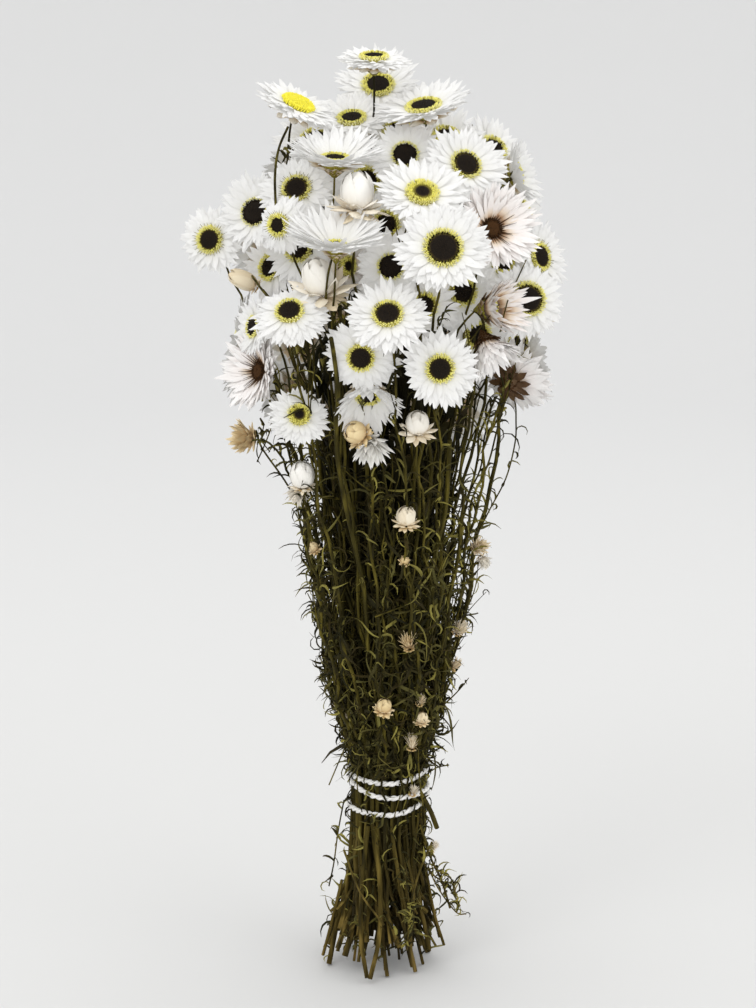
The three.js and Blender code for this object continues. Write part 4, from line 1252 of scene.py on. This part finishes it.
def stage_look():
    """Pale paper, a little darker near the bunch and lighter further off: painted shade and light that set
    how bright the sweep looks.
    """
    shader = Shader("pale sweep", 0.9, 0.1)
    away = shader.node("VectorMath", dict(operation="LENGTH"), {0: shader.place()}, 1)
    near = shader.spread(away, 0.4, 2.2)
    # Painted shade near the bunch, painted light further off.
    return shader.finish(shader.mix(near, (0.716, 0.717, 0.715), (0.662, 0.662, 0.655)))


def label(kind, i):
    return f"{kind}_{i + 1:02d}"


def bract_piece(name, look, node, heads, others=()):
    """The bracts of these heads in one piece."""
    copies = Copies()
    for head in heads:
        add_bracts(copies, head, [other for other in others if other is not head])
    copies.build(name, look, "bract_white", node)


# A small bud's measures as shares of its size, and its shoot: radius, drop and where it leaves its stem.
SMALL_BUD = dict(width=0.8, height=0.85, collar=1.5, sink=0.35)
BUD_SHOOT = dict(radius=0.6, drop=14, start=0.55)


def add_small_bud(copies, small, number):
    """A small bud at the end of its shoot, whose route it gives back."""
    middle, size = place_of(small["at"], small["depth"]), small["size"]
    root = Vector((TIE.x, 0, middle.z - BUD_SHOOT["drop"])).lerp(middle, BUD_SHOOT["start"])
    facing = ((middle - root).normalized() + Vector((0, 0, 0.9))).normalized()
    if "face" in small:
        facing = bearing(*small["face"])
    turn = np.array(UP.rotation_difference(facing).to_matrix())
    measures = {measure: size * SMALL_BUD[measure] for measure in ("width", "height", "collar")}
    base = middle - facing * size * SMALL_BUD["sink"]
    add_closed_head(copies, dict(small, number=number, middle=base, turn=turn, **measures))
    return [root.lerp(middle, t / 5) for t in range(6)], [BUD_SHOOT["radius"]] * 6


bract_white, egg_cream, dry_stem, dry_leaf = bract_look(), egg_look(), stem_look(), leaf_look()
bract_aged, floret_look = aged_bract_look(), disc_look()

front_heads = posed(FRONT_HEADS, 0)
closed_heads = posed(CLOSED_HEADS, 100)
rear_heads = posed(far_heads(), 200, fullness=0.8)
inner_heads = posed(INNER_HEADS, 700, fullness=0.6)
stems = front_heads + rear_heads + closed_heads + bare_shoots()
lay_stems(stems)
outer_stems = [stem for stem in stems if "outer" in stem]
extra_stems = fillers(inner_heads)

# White bracts, a piece for each front head and for each pair of far ones.
for i, head in enumerate(front_heads):
    bract_piece(label("bracts", i), bract_aged if "age" in head else bract_white, label("bloom", i), [head])
for i in range(len(rear_heads) // 2):
    pair = rear_heads[2 * i:2 * i + 2]
    bract_piece(label("pair_bracts", i), bract_white, label("bloom_pair", i), pair, rear_heads)
bract_piece("inner_bracts", bract_white, "leafy_stems", inner_heads, front_heads + rear_heads)

# Closed heads.
for i, head in enumerate(closed_heads):
    copies = Copies()
    add_closed_head(copies, head)
    copies.build(label("closed_head", i), egg_cream, "bract_cream", label("bud", i))

# Discs of all heads, and tan scales under those that are seen from below.
scales = Copies()
for name, heads in (("discs", front_heads), ("far_discs", rear_heads), ("inner_discs", inner_heads)):
    discs = Copies()
    for head in heads:
        add_disc(discs, head)
        if heads is not inner_heads:
            add_scales(scales, head)
    discs.build(name, floret_look, smooth=30)
scales.build("head_scales", scale_look(), "bract_cream")

# Small buds on their shoots.
buds = Copies()
bud_shoots = [add_small_bud(buds, small, 600 + i) for i, small in enumerate(SMALL_BUDS)]
buds.build("small_buds", egg_cream, "bract_cream")

# Stems, side shoots and twigs.
routes = {True: [], False: []}
for stem in stems + extra_stems:
    radii = stem_radii(stem["path"], stem["number"], *STEM_RADII["slim" in stem])
    routes["slim" in stem].append((stem["path"], radii))
shoots = side_shoots(outer_stems + extra_stems)
shoot_routes = [(path, SHOOT_RADII) for path in shoots]
twig_paths = [twig_path(shown) for shown in TWIGS]
twig_routes = [(path, [shown["thick"]] * len(path)) for shown, path in zip(TWIGS, twig_paths)]
tube_piece("stems", routes[False], dry_stem)
tube_piece("slim_stems", routes[True], dry_stem, sides=0)
tube_piece("side_shoots", shoot_routes + bud_shoots, dry_stem, sides=0)
tube_piece("twigs", twig_routes, dry_stem)

# Leaves along the outer stems, thinner along the inner ones, and along the shoots and twigs.
leaves, waist_leaves, shoot_leaves, wavy_leaves = Copies(), Copies(), Copies(), Copies()
for stem in outer_stems + extra_stems:
    for order, (outer_step, inner_step, zone) in enumerate(LEAF_ZONES):
        add_leaves(leaves if order == 2 else waist_leaves, stem["path"], stem["number"] + 1000 * order,
                   step=outer_step if "outer" in stem else inner_step, **zone)
for i, path in enumerate(shoots):
    add_leaves(shoot_leaves, path, 3000 + i, **SHOOT_LEAVES)
for i, (shown, path) in enumerate(zip(TWIGS, twig_paths)):
    if shown["step"]:
        add_leaves(waist_leaves, path, 6000 + i, step=shown["step"], **TWIG_LEAVES)
add_wavy_leaves(wavy_leaves, outer_stems)
add_tie_leaves(wavy_leaves)
add_inner_leaves(shoot_leaves)
wavy_leaves.build("wavy_leaves", dry_leaf, smooth=70)
for name, copies in (("leaves", leaves), ("waist_leaves", waist_leaves), ("shoot_leaves", shoot_leaves)):
    copies.build(name, dry_leaf, smooth=60)

tube_piece("twine_windings", twine_routes(), twine_look(), "twine")


# Metres, as for all that isn't part of the bunch.
SWEEP = dict(floor=2.2, bend=1.3, steps=10)
LIGHTS = [
    dict(name="key", place=(-1.0, -1.3, 1.7), aim=0.3, size=1.1, watts=8),
    dict(name="fill", place=(1.3, -0.9, 1.0), aim=0.3, size=1.2, watts=4),
    dict(name="top", place=(0.1, 0.5, 2.0), aim=0.3, size=1.2, watts=5),
    dict(name="low", place=(0.0, -1.5, 0.12), aim=0.44, size=0.8, watts=4),
]
WORLD_STRENGTH = 1.09


def build_stage():
    """A pale floor that curves up all round, like a paper sweep."""
    begin(bpy.ops.mesh.primitive_circle_add, vertices=96, radius=SWEEP["floor"], fill_type="TRIFAN")
    floor = bpy.context.object
    floor.name = "sweep"
    pick(lambda co: co.length > SWEEP["floor"] * 0.9)
    reach, height = SWEEP["floor"], 0.0
    for step in range(1, SWEEP["steps"] + 1):
        angle = pi / 2 * step / SWEEP["steps"]
        next_reach = SWEEP["floor"] + SWEEP["bend"] * sin(angle)
        next_height = SWEEP["bend"] * (1 - cos(angle))
        bpy.ops.mesh.extrude_region_move(TRANSFORM_OT_translate={"value": (0, 0, next_height - height)})
        resize(next_reach / reach, next_reach / reach, 1)
        reach, height = next_reach, next_height
    bpy.ops.mesh.select_all(action="SELECT")
    bpy.ops.mesh.normals_make_consistent(inside=True)
    bpy.ops.object.mode_set(mode="OBJECT")
    bpy.ops.object.shade_smooth()
    floor.data.materials.append(stage_look())


def aim(holder, place, target):
    """Puts a light or camera at a place and turns it to its target."""
    holder.location = place
    holder.rotation_euler = Vector(target - place).to_track_quat("-Z", "Y").to_euler()
    bpy.context.scene.collection.objects.link(holder)


def build_light():
    """A bright even world and four soft square lights that look at the bunch."""
    world = bpy.data.worlds.new("soft studio")
    world.use_nodes = True
    world.node_tree.nodes["Background"].inputs["Color"].default_value = (1, 1, 1, 1)
    world.node_tree.nodes["Background"].inputs["Strength"].default_value = WORLD_STRENGTH
    bpy.context.scene.world = world
    bpy.context.scene.view_settings.view_transform = "Standard"
    for lamp in LIGHTS:
        light = bpy.data.lights.new(lamp["name"], "AREA")
        light.size = lamp["size"]
        light.energy = lamp["watts"]
        aim(bpy.data.objects.new(lamp["name"], light), np.array(lamp["place"]), np.array((0, 0, lamp["aim"])))


def build_camera():
    """The photograph's viewing angle, a little above the bunch's middle."""
    camera = bpy.data.cameras.new("camera")
    camera.sensor_fit = "VERTICAL"
    camera.sensor_height = 36
    camera.lens = CAMERA["focal"] / CAMERA["picture"] * camera.sensor_height
    holder = bpy.data.objects.new("camera", camera)
    eye = np.array((CAMERA["x"], -CAMERA["distance"], CAMERA["height"])) + STAND
    aim(holder, eye * MM, (np.array((CAMERA["x"], 0, CAMERA["aim"])) + STAND) * MM)
    bpy.context.scene.camera = holder


build_stage()
build_light()
build_camera()
